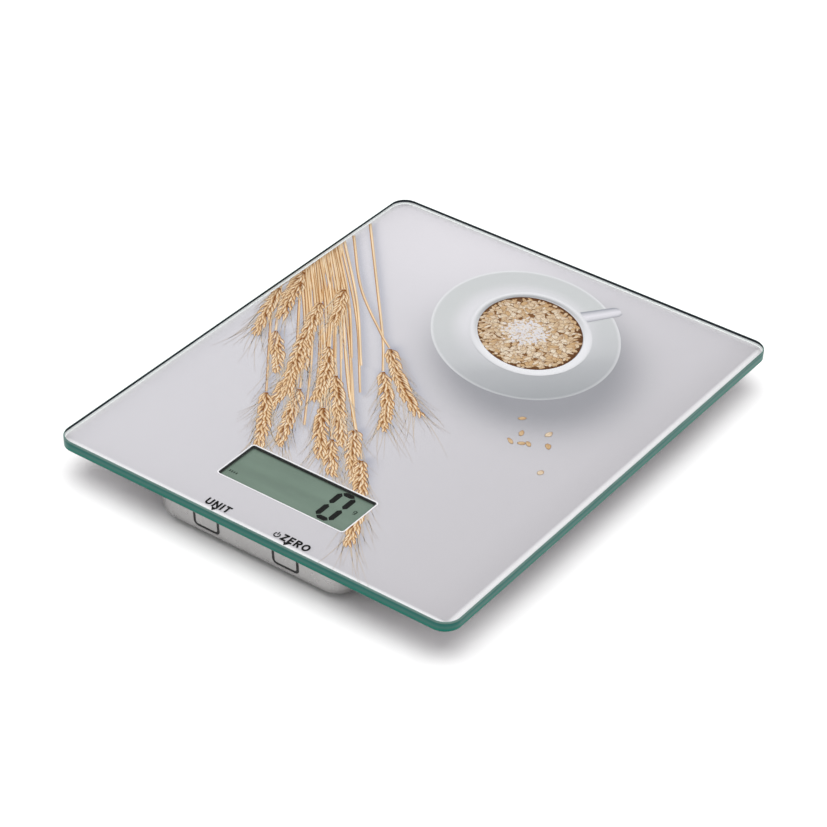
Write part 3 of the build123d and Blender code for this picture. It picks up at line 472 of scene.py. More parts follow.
def moulded(name, colour, roughness, grain=0.35, grain_depth=0.006, mottle=0.05, metallic=0.0, coat=0.0):
    """Moulded or coated surface: fine grain, slight colour drift and uneven gloss."""
    s = Shader(name)
    broad, fine = s.noise(14), s.noise(grain, detail=2)
    tone = s.mix(s.ramp(broad, 0.3, 0.7), rgba(shifted(colour, -mottle)), rgba(shifted(colour, mottle)))
    tone = s.mix(s.ramp(fine, 0.35, 0.65, 0, 0.5), tone, rgba(shifted(colour, -2 * mottle)))
    gloss = s.ramp(s.noise(3), 0.3, 0.7, roughness * 0.85, roughness * 1.15)
    shader = s.node("ShaderNodeBsdfPrincipled", Base_Color=tone, Roughness=gloss, Metallic=metallic,
                    Normal=s.bump(fine, grain_depth), Coat_Weight=coat)
    return s.finish(shader.outputs[0])


def brushed(name, colour, roughness, stretch=(1, 30, 30), depth=0.004):
    """Rolled or plated metal with fine lines along one direction."""
    s = Shader(name)
    lines = s.noise(6, detail=6, stretch=stretch)
    blotch = s.noise(5)
    tone = s.mix(s.ramp(blotch, 0.3, 0.7), rgba(shifted(colour, -0.10)), rgba(shifted(colour, 0.06)))
    gloss = s.ramp(lines, 0.3, 0.7, roughness * 0.7, roughness * 1.3)
    shader = s.node("ShaderNodeBsdfPrincipled", Base_Color=tone, Roughness=gloss, Metallic=1.0,
                    Normal=s.bump(lines, depth))
    return s.finish(shader.outputs[0])


def silver_lacquer():
    """Silver lacquer with fine metal flakes over moulded plastic."""
    s = Shader("silver_lacquer")
    flakes = s.node("ShaderNodeTexVoronoi", Vector=s.place, Scale=1 / (0.12 * MM)).outputs["Color"]
    sparkle = s.node("ShaderNodeSeparateColor", Color=flakes).outputs[0]
    broad = s.noise(20)
    tone = s.mix(s.ramp(broad, 0.3, 0.7), rgba((160, 158, 157)), rgba((170, 168, 167)))
    tone = s.mix(s.ramp(sparkle, 0.6, 1.0, 0, 0.3), tone, rgba((206, 206, 206)))
    gloss = s.ramp(s.noise(2), 0.3, 0.7, 0.26, 0.36)
    normal = s.bump(s.noise(0.5), 0.003, s.bump(sparkle, 0.0015))
    shader = s.node("ShaderNodeBsdfPrincipled", Base_Color=tone, Metallic=0.82, Roughness=gloss,
                    Normal=normal)
    return s.finish(shader.outputs[0])


def rubber(name, colour):
    return moulded(name, colour, 0.62, grain=0.5, grain_depth=0.02, mottle=0.04)


def board_laminate():
    """Green solder mask over copper tracks."""
    s = Shader("board_laminate")
    tracks = s.node("ShaderNodeTexBrick", {"offset": 0.4}, Vector=s.place, Scale=1 / (9 * MM),
                    Mortar_Size=0.03, Color1=(0, 0, 0, 1), Color2=(0, 0, 0, 1),
                    Mortar=(1, 1, 1, 1)).outputs["Color"]
    line = s.node("ShaderNodeSeparateColor", Color=tracks).outputs[0]
    tone = s.mix(s.ramp(s.noise(6), 0.3, 0.7), rgba((18, 92, 50)), rgba((26, 108, 60)))
    tone = s.mix(line, tone, rgba((52, 140, 84)))
    shader = s.node("ShaderNodeBsdfPrincipled", Base_Color=tone, Roughness=0.35, Normal=s.bump(line, 0.03))
    return s.finish(shader.outputs[0])


def label_film():
    """Silver film with a printed frame of plain ruled lines."""
    s = Shader("label_film")
    low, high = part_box("rating_label")
    split = s.node("ShaderNodeSeparateXYZ", Vector=s.place).outputs
    rows = s.maths("FRACT", s.maths("DIVIDE", s.maths("SUBTRACT", split[1], low.y), 3.2 * MM))
    ruled = s.maths("LESS_THAN", rows, 0.09)
    inside = s.maths("LESS_THAN", s.maths("ABSOLUTE", split[0]), (high.x - low.x) / 2 - 2 * MM)
    printed = s.maths("MULTIPLY", ruled, inside)
    tone = s.mix(s.ramp(s.noise(8), 0.3, 0.7), rgba((196, 197, 199)), rgba((206, 207, 209)))
    tone = s.mix(printed, tone, rgba((70, 70, 72)))
    shader = s.node("ShaderNodeBsdfPrincipled", Base_Color=tone, Metallic=0.4, Roughness=0.38,
                    Normal=s.bump(s.noise(0.6), 0.004))
    return s.finish(shader.outputs[0])


def display_face():
    """Grey-green face of the display, with faint streaks and fine grain."""
    s = Shader("display_face")
    streaks = s.noise(9, detail=4, stretch=(0.35, 1.6, 1))
    tone = s.mix(s.ramp(streaks, 0.3, 0.7), (*ink(DISPLAY) * 0.9, 1), (*ink(DISPLAY) * 1.1, 1))
    grain = s.noise(0.25, detail=2)
    tone = s.mix(s.ramp(grain, 0.4, 0.7, 0, 0.25), tone, (*ink(DISPLAY) * 0.75, 1))
    shader = s.node("ShaderNodeBsdfPrincipled", Base_Color=tone, Roughness=0.25, Normal=s.bump(grain, 0.001))
    return s.finish(shader.outputs[0])


def clear_display_glass():
    s = Shader("display_glass_edge")
    tone = s.mix(s.ramp(s.noise(4), 0.3, 0.7), rgba((150, 172, 160)), rgba((166, 186, 176)))
    shader = s.node("ShaderNodeBsdfPrincipled", Base_Color=tone, Roughness=0.1,
                    Normal=s.bump(s.noise(1), 0.001))
    return s.finish(shader.outputs[0])


def printed_ink(name, roughness=0.5):
    """Ink in the colours of its mesh, broken up by a fine print grain."""
    s = Shader(name)
    seen = s.node("ShaderNodeAttribute", {"attribute_name": "Ink"}).outputs["Color"]
    grain = s.noise(0.22, detail=2)
    darker = s.node("ShaderNodeHueSaturation", Color=seen, Value=0.955).outputs[0]
    lighter = s.node("ShaderNodeHueSaturation", Color=seen, Value=1.03).outputs[0]
    tone = s.mix(s.ramp(grain, 0.35, 0.65), darker, lighter)
    shader = s.node("ShaderNodeBsdfPrincipled", Base_Color=tone, Roughness=roughness,
                    Specular_IOR_Level=0.0, Normal=s.bump(grain, 0.001))
    return s.finish(shader.outputs[0])


def clear_pane():
    """Clear glass that lets lamps and scattered light reach the print behind it."""
    s = Shader("glass_pane")
    path = s.node("ShaderNodeLightPath").outputs
    ripple = s.bump(s.noise(60, detail=1), 0.004)
    glass = s.node("ShaderNodeBsdfGlass", Color=(0.975, 0.99, 0.985, 1), Roughness=0.0, IOR=GLASS_IOR,
                   Normal=ripple).outputs[0]
    clear = s.node("ShaderNodeBsdfTransparent", Color=(0.96, 0.975, 0.97, 1)).outputs[0]
    inner = s.node("ShaderNodeMixShader")
    outer = s.node("ShaderNodeMixShader")
    diffuse, shadow = path["Is Diffuse Ray"], path["Is Shadow Ray"]
    for mixer, factor, first in ((inner, diffuse, glass), (outer, shadow, inner.outputs[0])):
        s.feed(mixer, "0", factor)
        s.feed(mixer, "1", first)
        s.feed(mixer, "2", clear)
    return s.finish(outer.outputs[0])


def edge_bands(s):
    """Colour of the polished edge by height: clear green low down, greyer from the middle up, the grey a
    painted reflection.
    """
    height = s.node("ShaderNodeSeparateXYZ", Vector=s.place).outputs[2]
    share = s.ramp(height, GLASS_LOW.z * MM, GLASS_HIGH.z * MM)
    wave = s.maths("MULTIPLY", s.maths("SUBTRACT", s.noise(30, detail=2), 0.5), 0.25)
    bands = s.node("ShaderNodeValToRGB", Fac=s.maths("ADD", share, wave))
    while len(bands.color_ramp.elements) < len(EDGE_STOPS):
        bands.color_ramp.elements.new(0.5)
    for element, (where, colour) in zip(bands.color_ramp.elements, EDGE_STOPS):
        element.position = where
        element.color = rgba(colour)
    return bands.outputs[0]


def edge_glass(name, tone_of, roughness):
    """Green outside; from inside the glass, painted shade in its upper part and a bright painted reflection
    at its foot.
    """
    s = Shader(name)
    polish = s.bump(s.noise(1.5, stretch=(1, 1, 6)), 0.003)
    green = s.node("ShaderNodeBsdfPrincipled", Base_Color=tone_of(s), Roughness=roughness, Normal=polish,
                   Specular_IOR_Level=EDGE_SPECULAR).outputs[0]
    height = s.node("ShaderNodeSeparateXYZ", Vector=s.place).outputs[2]
    upper = s.ramp(height, (GLASS_LOW.z + PAINTED_SHADE_FROM[0]) * MM, (GLASS_LOW.z + PAINTED_SHADE_FROM[1]) * MM)
    # painted reflection low on the wall, painted shade above it, for the light and dark lines of the far
    # edges
    inner = s.mix(upper, (0.8, 0.82, 0.82, 1), rgba(INNER_PAINTED_SHADE))
    inside = s.node("ShaderNodeBsdfDiffuse", Color=inner).outputs[0]
    mixer = s.node("ShaderNodeMixShader")
    s.feed(mixer, "0", s.node("ShaderNodeNewGeometry").outputs["Backfacing"])
    s.feed(mixer, "1", green)
    s.feed(mixer, "2", inside)
    return s.finish(mixer.outputs[0])


# Painted shade: the rounded arris gets a darker grey-green than the glass, for the dark line along its rims
def arris_tone(s):
    return s.mix(s.ramp(s.noise(12), 0.3, 0.7), rgba((84, 112, 106)), rgba((98, 124, 118)))


# ---- Glass ----------------------------------------------------------------------------
def glass_profile():
    """Inset from the glass's edge and height, from the underside's rim round to the top's rim."""
    height = GLASS_HIGH.z - GLASS_LOW.z
    lower = [(ARRIS * (1 - math.sin(a)), ARRIS * (1 - math.cos(a))) for a in quarter_angles()]
    upper = [(inset, height - rise) for inset, rise in reversed(lower)]
    return lower + upper


def quarter_angles():
    return [math.radians(90) * step / ARRIS_STEPS for step in range(ARRIS_STEPS + 1)]


def glass_platform():
    """The plate as one closed mesh: two panes, a rounded arris at both rims, and the wall between."""
    width, depth = GLASS_HIGH.x - GLASS_LOW.x, GLASS_HIGH.y - GLASS_LOW.y
    points, faces, slots = [], [], []
    profile = glass_profile()
    for inset, rise in profile:
        loop = rounded_outline(width - 2 * inset, depth - 2 * inset, GLASS_CORNER_RADIUS - inset)
        points += [(x * MM, y * MM, (GLASS_LOW.z + rise) * MM) for x, y in loop]
    count = len(loop)
    wall = len(profile) // 2 - 1
    for level in range(len(profile) - 1):
        for i in range(count):
            j = (i + 1) % count
            low, high = level * count, (level + 1) * count
            faces.append((low + i, low + j, high + j, high + i))
            slots.append(1 if level == wall else 2)
    top = (len(profile) - 1) * count
    faces += [tuple(reversed(range(count))), tuple(range(top, top + count))]
    slots += [0, 0]
    mesh = bpy.data.meshes.new("platform_glass")
    mesh.from_pydata(points, [], faces)
    materials = [clear_pane(), edge_glass("glass_edge", edge_bands, 0.12),
                 edge_glass("glass_arris", arris_tone, 0.2)]
    obj = new_object("platform_glass", mesh, materials)
    mesh.polygons.foreach_set("material_index", slots)
    mesh.polygons.foreach_set("use_smooth", [slot != 0 for slot in slots])
    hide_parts("glass_platform")


# ---- Print: what is drawn, in millimetres ---------------------------------------------
MOTIF_X = -1.5             # the picture as a whole, sideways from the places below
# A stalk runs from a point near the glass's left edge, through bends, to the foot of its head.
# Each head is its foot, its tip and the points its stalk passes before the foot, the first of
# them at the left edge.
HEADS = (
    ((-24.6, 15.5), (6.8, -10.2), ((-79.9, 67.6), (-56.1, 40.5), (-33.2, 21.6))),
    ((-17.8, 2.4), (1.8, -24.5), ((-80.1, 78.3), (-48.2, 40.5), (-29.6, 18.3))),
    ((-79.2, 36.0), (-74.6, 17.0), ((-81.4, 46.0),)),
    ((-75.6, 30.0), (-67.8, 8.0), ((-81.4, 42.0),)),
    ((-79.6, 22.0), (-68.6, -5.5), ((-81.4, 28.0),)),
    ((-63.6, -1.0), (-48.5, -20.0), ((-81.4, 25.0), (-73.0, 13.0))),
    ((-61.8, 24.0), (-41.8, -12.0), ((-81.4, 52.0),)),
    ((-53.2, 2.0), (-36.8, -28.5), ((-81.4, 45.0), (-66.0, 22.0))),
    ((-42.5, 3.0), (-27.0, -25.0), ((-81.4, 56.0), (-61.0, 28.0))),
    ((-42.5, -33.0), (-25.6, -58.5), ((-81.4, 20.0), (-62.0, -6.5))),
    ((-34.5, -24.0), (-20.4, -53.0), ((-81.4, 42.0), (-53.0, 3.0))),
    ((-44.5, -13.0), (-36.2, -38.0), ((-81.4, 37.0), (-58.0, 5.0))),
    ((-60.4, 36.0), (-50.5, 17.0), ((-81.4, 58.0),)),
    ((-29.5, -10.0), (-14.5, -28.0), ((-81.4, 60.0), (-50.0, 16.0))),
    ((-21.1, -28.0), (-5.2, -50.5), ((-81.4, 50.0), (-40.0, -1.0))),
    ((-19.2, -21.5), (-3.6, -40.5), ((-81.4, 62.0), (-41.0, 5.0))),
    ((-4.6, -31.5), (12.4, -54.5), ((-81.4, 61.0), (-30.0, -3.0))),
    ((7.5, -44.0), (31.0, -82.5), ((-81.4, 57.0), (-20.0, -14.0))),
    ((-7.5, -41.0), (4.0, -55.5), ((-81.4, 54.0), (-30.0, -13.0))),
)
LOOSE_STALKS = 22
LOOSE_LEFT = -81.6         # loose stalks start here, spread along the left edge
LOOSE_Y = (37.0, 26.0)     # the first one's start, and the spread of the rest
LOOSE_RIGHT = (58.0, 30.0)     # how far the first one reaches at most, and what the last adds
LOOSE_DOWN = (78.0, 22.0)
LOOSE_BULGE = 2.2          # sideways shift of a loose stalk's middle
PATH_POINTS = 26
STALK_JOINTS = 19          # phase of the darker joints along a stalk
KERNEL_PITCH = 1.75
KERNEL_LENGTH = 4.3
KERNEL_WIDTH = 1.35
HEAD_HALF_WIDTH = 1.75
STALK_WIDTH = 1.1
AWN_WIDTH = 0.22
AWN_LENGTH = (12.0, 27.0)
AWN_BEND = 0.16
RIBBON_POINTS = 12
KERNEL_LEAN = 27           # degrees that the outer kernels lean from the ear's line
MIDDLE_LEAN = 8

# Saucer and cup.
SAUCER_CENTRE = (8.5, 53.7)
SAUCER_SIZE = (41.7, 34.2)
CUP_CENTRE = (9.8, 55.1)
CUP_SIZE = (27.2, 22.2)
OATS_CENTRE = (9.5, 54.7)
OATS_SIZE = (23.6, 19.3)
CHINA_TILT = math.radians(-45)
HANDLE_START = (19.4, 75.4)
HANDLE_END = (27.9, 87.2)
HANDLE_WIDTH = 6.3
FLAKE_COUNT = 820
OATS_REACH = 0.945         # how far out the middle of a flake lies, of the oats' own size
LOOSE_FLAKES = ((37.2, 9.5), (49.7, 7.4), (41.8, 2.2), (53.4, 1.4), (47.2, -1.5), (45.1, -2.7),
                (41.4, -3.9), (59.7, -12.6))
FLAKE_SECTORS = 12
MEAL_COUNT = 420
MEAL_REACH = 13

# Soft shadows on the ground: strength, width and steepness, and how far each is shifted.
CHINA_SHADE_SHAPE = (0.98, 0.40, 2.2)
CHINA_SHADE_CORE = 0.72
CHINA_SHADE_SHIFT = 12.0
HEAD_SHADE_SHAPE = (0.80, 3.2, 1.7)
HEAD_SHADE_SHIFT = (1.6, -0.2)
STALK_SHADE_SHAPE = (0.55, 1.9, 1.6)
STALK_SHADE_SHIFT = (1.1, 0.2)
STALK_SHADE_STRIDE = 5

# Words beside the buttons, and the display's digit.
WORD_FOOT = GLASS_FRONT + 4.45
LETTER_HEIGHT = 3.4
LETTER_WEIGHT = 0.72
UNIT_LEFT = -19.4
ZERO_LEFT = 12.4
LETTER_GAP = 0.62
ARROW_SIZE = (2.2, 1.6)
ARROW_FOOT = GLASS_FRONT + 2.75
ARROWS = (-14.7, 15.5)
POWER_SHIFT = (-1.85, 1.35)    # from the foot of the second word to the power mark's middle
POWER_RADIUS = 1.05
POWER_WEIGHT = 0.42
POWER_BAR = (0.2, 1.55)
DIGIT_CENTRE = (14.2, -69.3)
DIGIT_SIZE = (7.5, 17.0)
SEGMENT_WIDTH = 2.1
SEGMENT_GAP = 0.28
DISPLAY_SHADE = 1.6        # width of the shaded border inside the window
DISPLAY_SHADE_OUT = 0.5    # and how far it goes on under the print
DISPLAY_LIFT = 0.03        # marks above the display's face
UNIT_MARK_SHIFT = (7.0, 1.6)
UNIT_MARK_WEIGHT = 0.26
SMALL_MARK_COUNT = 4
SMALL_MARK_LEFT = 24.6
SMALL_MARK_PITCH = 0.95
SMALL_MARK_Y = (-6.6, -5.5)


def smooth_path(points, count):
    """Catmull-Rom curve through the points."""
    points = np.array(points, float)
    padded = np.vstack([2 * points[0] - points[1], points, 2 * points[-1] - points[-2]])
    spans = len(points) - 1
    result = []
    for share in np.linspace(0, spans, count):
        index = min(int(share), spans - 1)
        t = share - index
        a, b, c, d = padded[index : index + 4]
        square = 2 * a - 5 * b + 4 * c - d
        cube = 3 * b - a - 3 * c + d
        result.append(0.5 * (2 * b + (c - a) * t + square * t**2 + cube * t**3))
    return np.array(result)


def across_inks(profile, count):
    """The same inks across at each of count points along."""
    return np.repeat(np.array(profile)[None, :, :], count, axis=0)


def stalk(sheet, path, width, height, tone):
    """One straw: lit along one side, brown along the other, with joints a little darker."""
    count = len(path)
    light = blend_inks(ink(STRAW), ink(STRAW_LIGHT), 0.25 + 0.6 * tone)
    middle = blend_inks(ink(STRAW), ink(STRAW_DARK), 0.55 * (1 - tone))
    dark = blend_inks(ink(STRAW_DEEP), ink(STRAW_DARK), tone)
    colours = across_inks([dark, middle, light, light, middle], count)
    colours = colours * (1 + 0.06 * np.sin(np.linspace(0, STALK_JOINTS, count) + 9 * tone))[:, None, None]
    sheet.ribbon(path, width * np.linspace(1.0, 0.8, count), height, colours)


def all_stalks():
    """Stalks of every head and loose ones through the bundle, each a path with its width."""
    paths = [(smooth_path([*entries, foot], PATH_POINTS), STALK_WIDTH) for foot, _, entries in HEADS]
    for index in range(LOOSE_STALKS):
        share = index / (LOOSE_STALKS - 1)
        start = (LOOSE_LEFT, LOOSE_Y[0] + LOOSE_Y[1] * share + RANDOM.uniform(-0.8, 0.8))
        reach = RANDOM.uniform(0.55, 1.0)
        end_x = LOOSE_LEFT + reach * (LOOSE_RIGHT[0] + LOOSE_RIGHT[1] * share)
        end_y = start[1] - reach * (LOOSE_DOWN[0] + LOOSE_DOWN[1] * share)
        middle_x = (start[0] + end_x) / 2 + LOOSE_BULGE + RANDOM.uniform(-0.8, 0.8)
        middle_y = (start[1] + end_y) / 2 + RANDOM.uniform(-0.8, 0.8)
        path = smooth_path([start, (middle_x, middle_y), (end_x, end_y)], PATH_POINTS)
        paths.append((path, STALK_WIDTH * RANDOM.uniform(0.7, 1.15)))
    return paths


def wheat_stalks():
    sheet = Ink(STALK_COAT)
    for path, width in STALKS:
        stalk(sheet, path, width, ink_height(RANDOM.uniform(*STALK_LAYERS)), RANDOM.random())
    return sheet.build_motif("print_wheat_stalks")


def kernel(sheet, foot, direction, length, width, height, lit):
    """One kernel: a leaf shape with a cream ridge, darker towards its foot and edges."""
    steps = np.linspace(0, 1, 7)
    side = np.array([-direction[1], direction[0]])
    bow = 0.10 * length * np.sin(np.pi * steps)[:, None] * side * (1 if lit > 0.5 else -1)
    centre = np.array(foot) + direction * (steps * length)[:, None] + bow
    widths = width * np.sin(np.pi * np.clip(steps * 0.93 + 0.05, 0, 1)) ** 0.7
    ridge = blend_inks(ink(STRAW), ink(STRAW_LIGHT), 0.35 + 0.65 * lit)
    edge = blend_inks(ink(STRAW_DEEP), ink(STRAW_DARK), lit)
    lit_side, dark_side = blend_inks(ink(STRAW), ridge, 0.6), blend_inks(ink(STRAW), edge, 0.25)
    profile = across_inks([edge, lit_side, ridge, dark_side, edge], len(steps))
    foot_shade = np.clip(1.2 - 2.6 * steps, 0, 1)[:, None, None] * 0.6
    sheet.ribbon(centre, widths, height, profile * (1 - foot_shade) + ink(STRAW_DEEP) * foot_shade)


def awn(sheet, start, direction, length, height):
    """One long bristle that bends away and fades."""
    steps = np.linspace(0, 1, 9)
    side = np.array([-direction[1], direction[0]])
    bend = RANDOM.uniform(-AWN_BEND, AWN_BEND) * length
    centre = np.array(start) + direction * (steps * length)[:, None] + side * (bend * steps**2)[:, None]
    inside = np.abs(centre[:, 0]) < -GLASS_LEFT - 2.0
    centre, steps = centre[inside], steps[inside]
    if len(centre) < 3:
        return
    fade = tint(tint(ink(STRAW), AWN, 0.6), GROUND_DARK, 0.15 + 0.6 * steps)
    colours = np.repeat(fade[:, None, :], 2, axis=1)
    sheet.ribbon(centre, AWN_WIDTH * (1 - 0.6 * steps), height, colours)


def turned(direction, degrees):
    angle = math.radians(degrees)
    c, s = math.cos(angle), math.sin(angle)
    return np.array([c * direction[0] - s * direction[1], s * direction[0] + c * direction[1]])


def head(kernels, awns, foot, tip, order):
    """One ear: overlapping kernels in three rows that lean outwards, and bristles."""
    foot, tip = np.array(foot), np.array(tip)
    reach = np.linalg.norm(tip - foot)
    count = max(6, int(reach / KERNEL_PITCH))
    sway = RANDOM.uniform(-0.05, 0.05) * reach
    line = (tip - foot) / reach
    side = turned(line, 90)
    base = HEAD_LAYER + HEAD_LAYERS * order
    backing = foot + np.outer(np.linspace(0.02, 0.97, RIBBON_POINTS), tip - foot)
    backing = backing + np.outer(sway * np.sin(np.pi * np.linspace(0, 1, RIBBON_POINTS)), side)
    widths = 1.5 * HEAD_HALF_WIDTH * np.sin(np.pi * np.linspace(0.12, 0.93, RIBBON_POINTS)) ** 0.6
    shaded = across_inks([ink(STRAW_DEEP), ink(STRAW_DARK), ink(STRAW_DEEP)], RIBBON_POINTS)
    kernels.ribbon(backing, widths, ink_height(base), shaded)
    for index in reversed(range(count)):
        share = (index + 0.3) / count
        swell = math.sin(math.pi * (0.14 + 0.74 * share)) ** 0.6
        place = foot + line * reach * share + side * sway * math.sin(math.pi * share)
        middle_lean = MIDDLE_LEAN if index % 2 else -MIDDLE_LEAN
        for row, lean in ((-1, -KERNEL_LEAN), (1, KERNEL_LEAN), (0, middle_lean)):
            shift = side * row * HEAD_HALF_WIDTH * 0.45 * swell
            advance = line * KERNEL_PITCH * (0.5 if row == 0 else 0.25 * (row + 1))
            direction = turned(line, lean * (1 - 0.45 * share) + RANDOM.uniform(-5, 5))
            length = KERNEL_LENGTH * (0.72 + 0.28 * swell) * RANDOM.uniform(0.9, 1.08)
            level = ink_height(base + 0.02 + 0.05 * (1 - share) + 0.012 * (row == 0))
            start = place + shift + advance
            width = KERNEL_WIDTH * (0.75 + 0.25 * swell)
            kernel(kernels, start, direction, length, width, level, RANDOM.random())
            if row != 0 or index % 2:
                outward = turned(line, lean * 0.55 + RANDOM.uniform(-9, 9))
                bristle = RANDOM.uniform(*AWN_LENGTH) * (0.5 + 0.5 * share)
                awn(awns, start + direction * length * 0.85, outward, bristle, ink_height(base - 0.03))


def wheat_heads():
    kernels, awns = Ink(KERNEL_COAT), Ink(BRISTLE_COAT)
    for order, (foot, tip, _) in enumerate(HEADS):
        head(kernels, awns, foot, tip, (order % 5) / 5)
    kernels.build_motif("print_wheat_ears")
    awns.build_motif("print_wheat_bristles")


def ellipse_ring(centre, size, shares, sectors=96):
    """Points of nested tilted ellipses, one row for each share of the full size."""
    angles = np.linspace(0, 2 * math.pi, sectors, endpoint=False)
    c, s = math.cos(CHINA_TILT), math.sin(CHINA_TILT)
    u = np.outer(shares, np.cos(angles)) * size[0]
    v = np.outer(shares, np.sin(angles)) * size[1]
    return centre[0] + c * u - s * v, centre[1] + s * u + c * v


def lit_share(x, y, centre, size):
    """From 0 at a round thing's upper left to 1 at its lower right."""
    return 0.5 + 0.5 * ((x - centre[0]) - (y - centre[1])) / (math.sqrt(2) * size[0])


def saucer():
    """Wide sloping rim, a lighter well, a darker lower right and a thin light edge."""
    sheet = Ink(COAT)
    shares = np.array([0.02, 0.4, 0.58, 0.64, 0.70, 0.76, 0.82, 0.88, 0.93, 0.965, 0.985, 1.0])
    x, y = ellipse_ring(SAUCER_CENTRE, SAUCER_SIZE, shares)
    tone = lit_share(x, y, SAUCER_CENTRE, SAUCER_SIZE)
    slope = np.clip((shares - 0.66) / 0.14, 0, 1)[:, None]
    upper = blend_inks(ink(SAUCER_LIGHT), ink(SAUCER), slope * np.clip(1.25 - 0.7 * tone, 0, 1))
    lower = blend_inks(ink(SAUCER_MID), ink(SAUCER_DARK), np.clip(3.2 * tone - 2.1, 0, 1))
    colours = blend_inks(upper, lower, np.clip(2.6 * tone - 1.0, 0, 1))
    edge = np.clip((shares - 0.965) / 0.02, 0, 1)[:, None]
    colours = tint(colours, CHINA_WHITE, edge * np.clip(0.75 - 0.55 * tone, 0, 1))
    sheet.patch(x, y, ink_height(SAUCER_LAYER), colours, wrap=True)
    return sheet.build_motif("print_saucer")


def cup():
    """Rim and inner wall, and the dark bed under the oats."""
    sheet = Ink(COAT)
    shares = np.array([0.865, 0.885, 0.905, 0.93, 0.955, 0.985, 1.0])
    x, y = ellipse_ring(CUP_CENTRE, CUP_SIZE, shares)
    tone = lit_share(x, y, CUP_CENTRE, CUP_SIZE)
    wall = blend_inks(ink(CHINA_SHADE), ink(CHINA_WHITE), np.clip(2.0 * tone - 0.3, 0, 1))
    rim = blend_inks(ink(CHINA_WHITE), ink(SAUCER_LIGHT), np.clip(1 - 2 * abs(tone - 0.5), 0, 1) * 0.6)
    share = np.clip((shares - 0.90) / 0.045, 0, 1)[:, None]
    colours = blend_inks(wall, rim, share)
    edge = np.clip((shares - 0.975) / 0.02, 0, 1)[:, None]
    sheet.patch(x, y, ink_height(CUP_LAYER), tint(colours, SAUCER_MID, 0.45 * edge), wrap=True)
    x, y = ellipse_ring(OATS_CENTRE, OATS_SIZE, np.array([0.02, 0.5, 0.8, 0.93, 1.0]))
    depths = np.array([0.45, 0.45, 0.45, 0.2, 0.0])[:, None] * np.ones(x.shape[1])
    sheet.patch(x, y, ink_height(OATS_BED_LAYER), tint(ink(OAT_GAP), OAT_DARK, depths), wrap=True)
    return sheet.build_motif("print_cup")


def handle():
    """Straight handle, light along its middle, with a rounded end."""
    sheet = Ink(COAT)
    start, end = np.array(HANDLE_START), np.array(HANDLE_END)
    along = np.linspace(0, 1, RIBBON_POINTS)
    centre = start + np.outer(along, end - start)
    rounding = np.sqrt(np.clip(1 - ((along - 0.9) / 0.13) ** 2, 0.05, 1))
    widths = HANDLE_WIDTH * (1.08 - 0.16 * along) * np.where(along > 0.9, rounding, 1.0)
    profile = [ink(seen) for seen in HANDLE_TONES]
    sheet.ribbon(centre, widths, ink_height(HANDLE_LAYER), across_inks(profile, RIBBON_POINTS))
    return sheet.build_motif("print_cup_handle")


def flake(sheet, centre, size, angle, height, tone):
    """One oat flake: an irregular oval with a light face, a brown edge and a crease."""
    angles = np.linspace(0, 2 * math.pi, FLAKE_SECTORS, endpoint=False)
    wobble = 1 + np.array([RANDOM.uniform(-0.12, 0.12) for _ in range(FLAKE_SECTORS)])
    shares = np.array([0.04, 0.55, 0.85, 1.0])
    u = np.outer(shares, np.cos(angles) * wobble) * size[0]
    v = np.outer(shares, np.sin(angles) * wobble) * size[1]
    c, s = math.cos(angle), math.sin(angle)
    x, y = centre[0] + c * u - s * v, centre[1] + s * u + c * v
    face = blend_inks(ink(OAT), ink(OAT_LIGHT), tone)
    colours = tint(face, OAT_EDGE, np.array([0.0, 0.0, 0.22, 1.0])[:, None] * np.ones(FLAKE_SECTORS))
    crease = np.exp(-((v / (0.25 * size[1])) ** 2)) * (np.abs(u) < 0.7 * size[0])
    colours = tint(colours, OAT_DARK, 0.30 * crease)
    shade = 0.6 * np.clip((u - v) / (size[0] + size[1]), 0, 1)
    sheet.patch(x, y, height, tint(colours, OAT_DARK, shade), wrap=True)


def cup_flake(sheet, index):
    """One flake in the cup, on a spiral that fills the opening evenly."""
    radius = math.sqrt((index + 0.5) / FLAKE_COUNT)
    angle = index * math.pi * (3 - math.sqrt(5)) + RANDOM.uniform(-0.2, 0.2)
    u = OATS_REACH * radius * math.cos(angle) * OATS_SIZE[0]
    v = OATS_REACH * radius * math.sin(angle) * OATS_SIZE[1]
    c, s = math.cos(CHINA_TILT), math.sin(CHINA_TILT)
    place = (OATS_CENTRE[0] + c * u - s * v, OATS_CENTRE[1] + s * u + c * v)
    shrink = 1 - 0.35 * max(0.0, radius - 0.85) / 0.15
    size = (RANDOM.uniform(1.1, 2.1) * shrink, RANDOM.uniform(0.5, 1.15) * shrink)
    shaded = 0.35 * max(0.0, radius - 0.8) / 0.2
    tone = np.clip(RANDOM.uniform(0.0, 1.1) - shaded, 0, 1)
    flake(sheet, place, size, RANDOM.uniform(0, math.pi), ink_height(RANDOM.uniform(*FLAKE_LAYERS)), tone)


def oats():
    """Flakes in the cup, and a few loose ones in front of the saucer."""
    sheet = Ink(FLAKE_COAT)
    for index in range(FLAKE_COUNT):
        cup_flake(sheet, index)
    for place in LOOSE_FLAKES:
        size = (RANDOM.uniform(1.5, 1.9), RANDOM.uniform(0.85, 1.15))
        angle = RANDOM.uniform(0, math.pi)
        flake(sheet, place, size, angle, ink_height(LOOSE_FLAKE_LAYER), RANDOM.uniform(0.0, 0.7))
    return sheet.build_motif("print_oats")


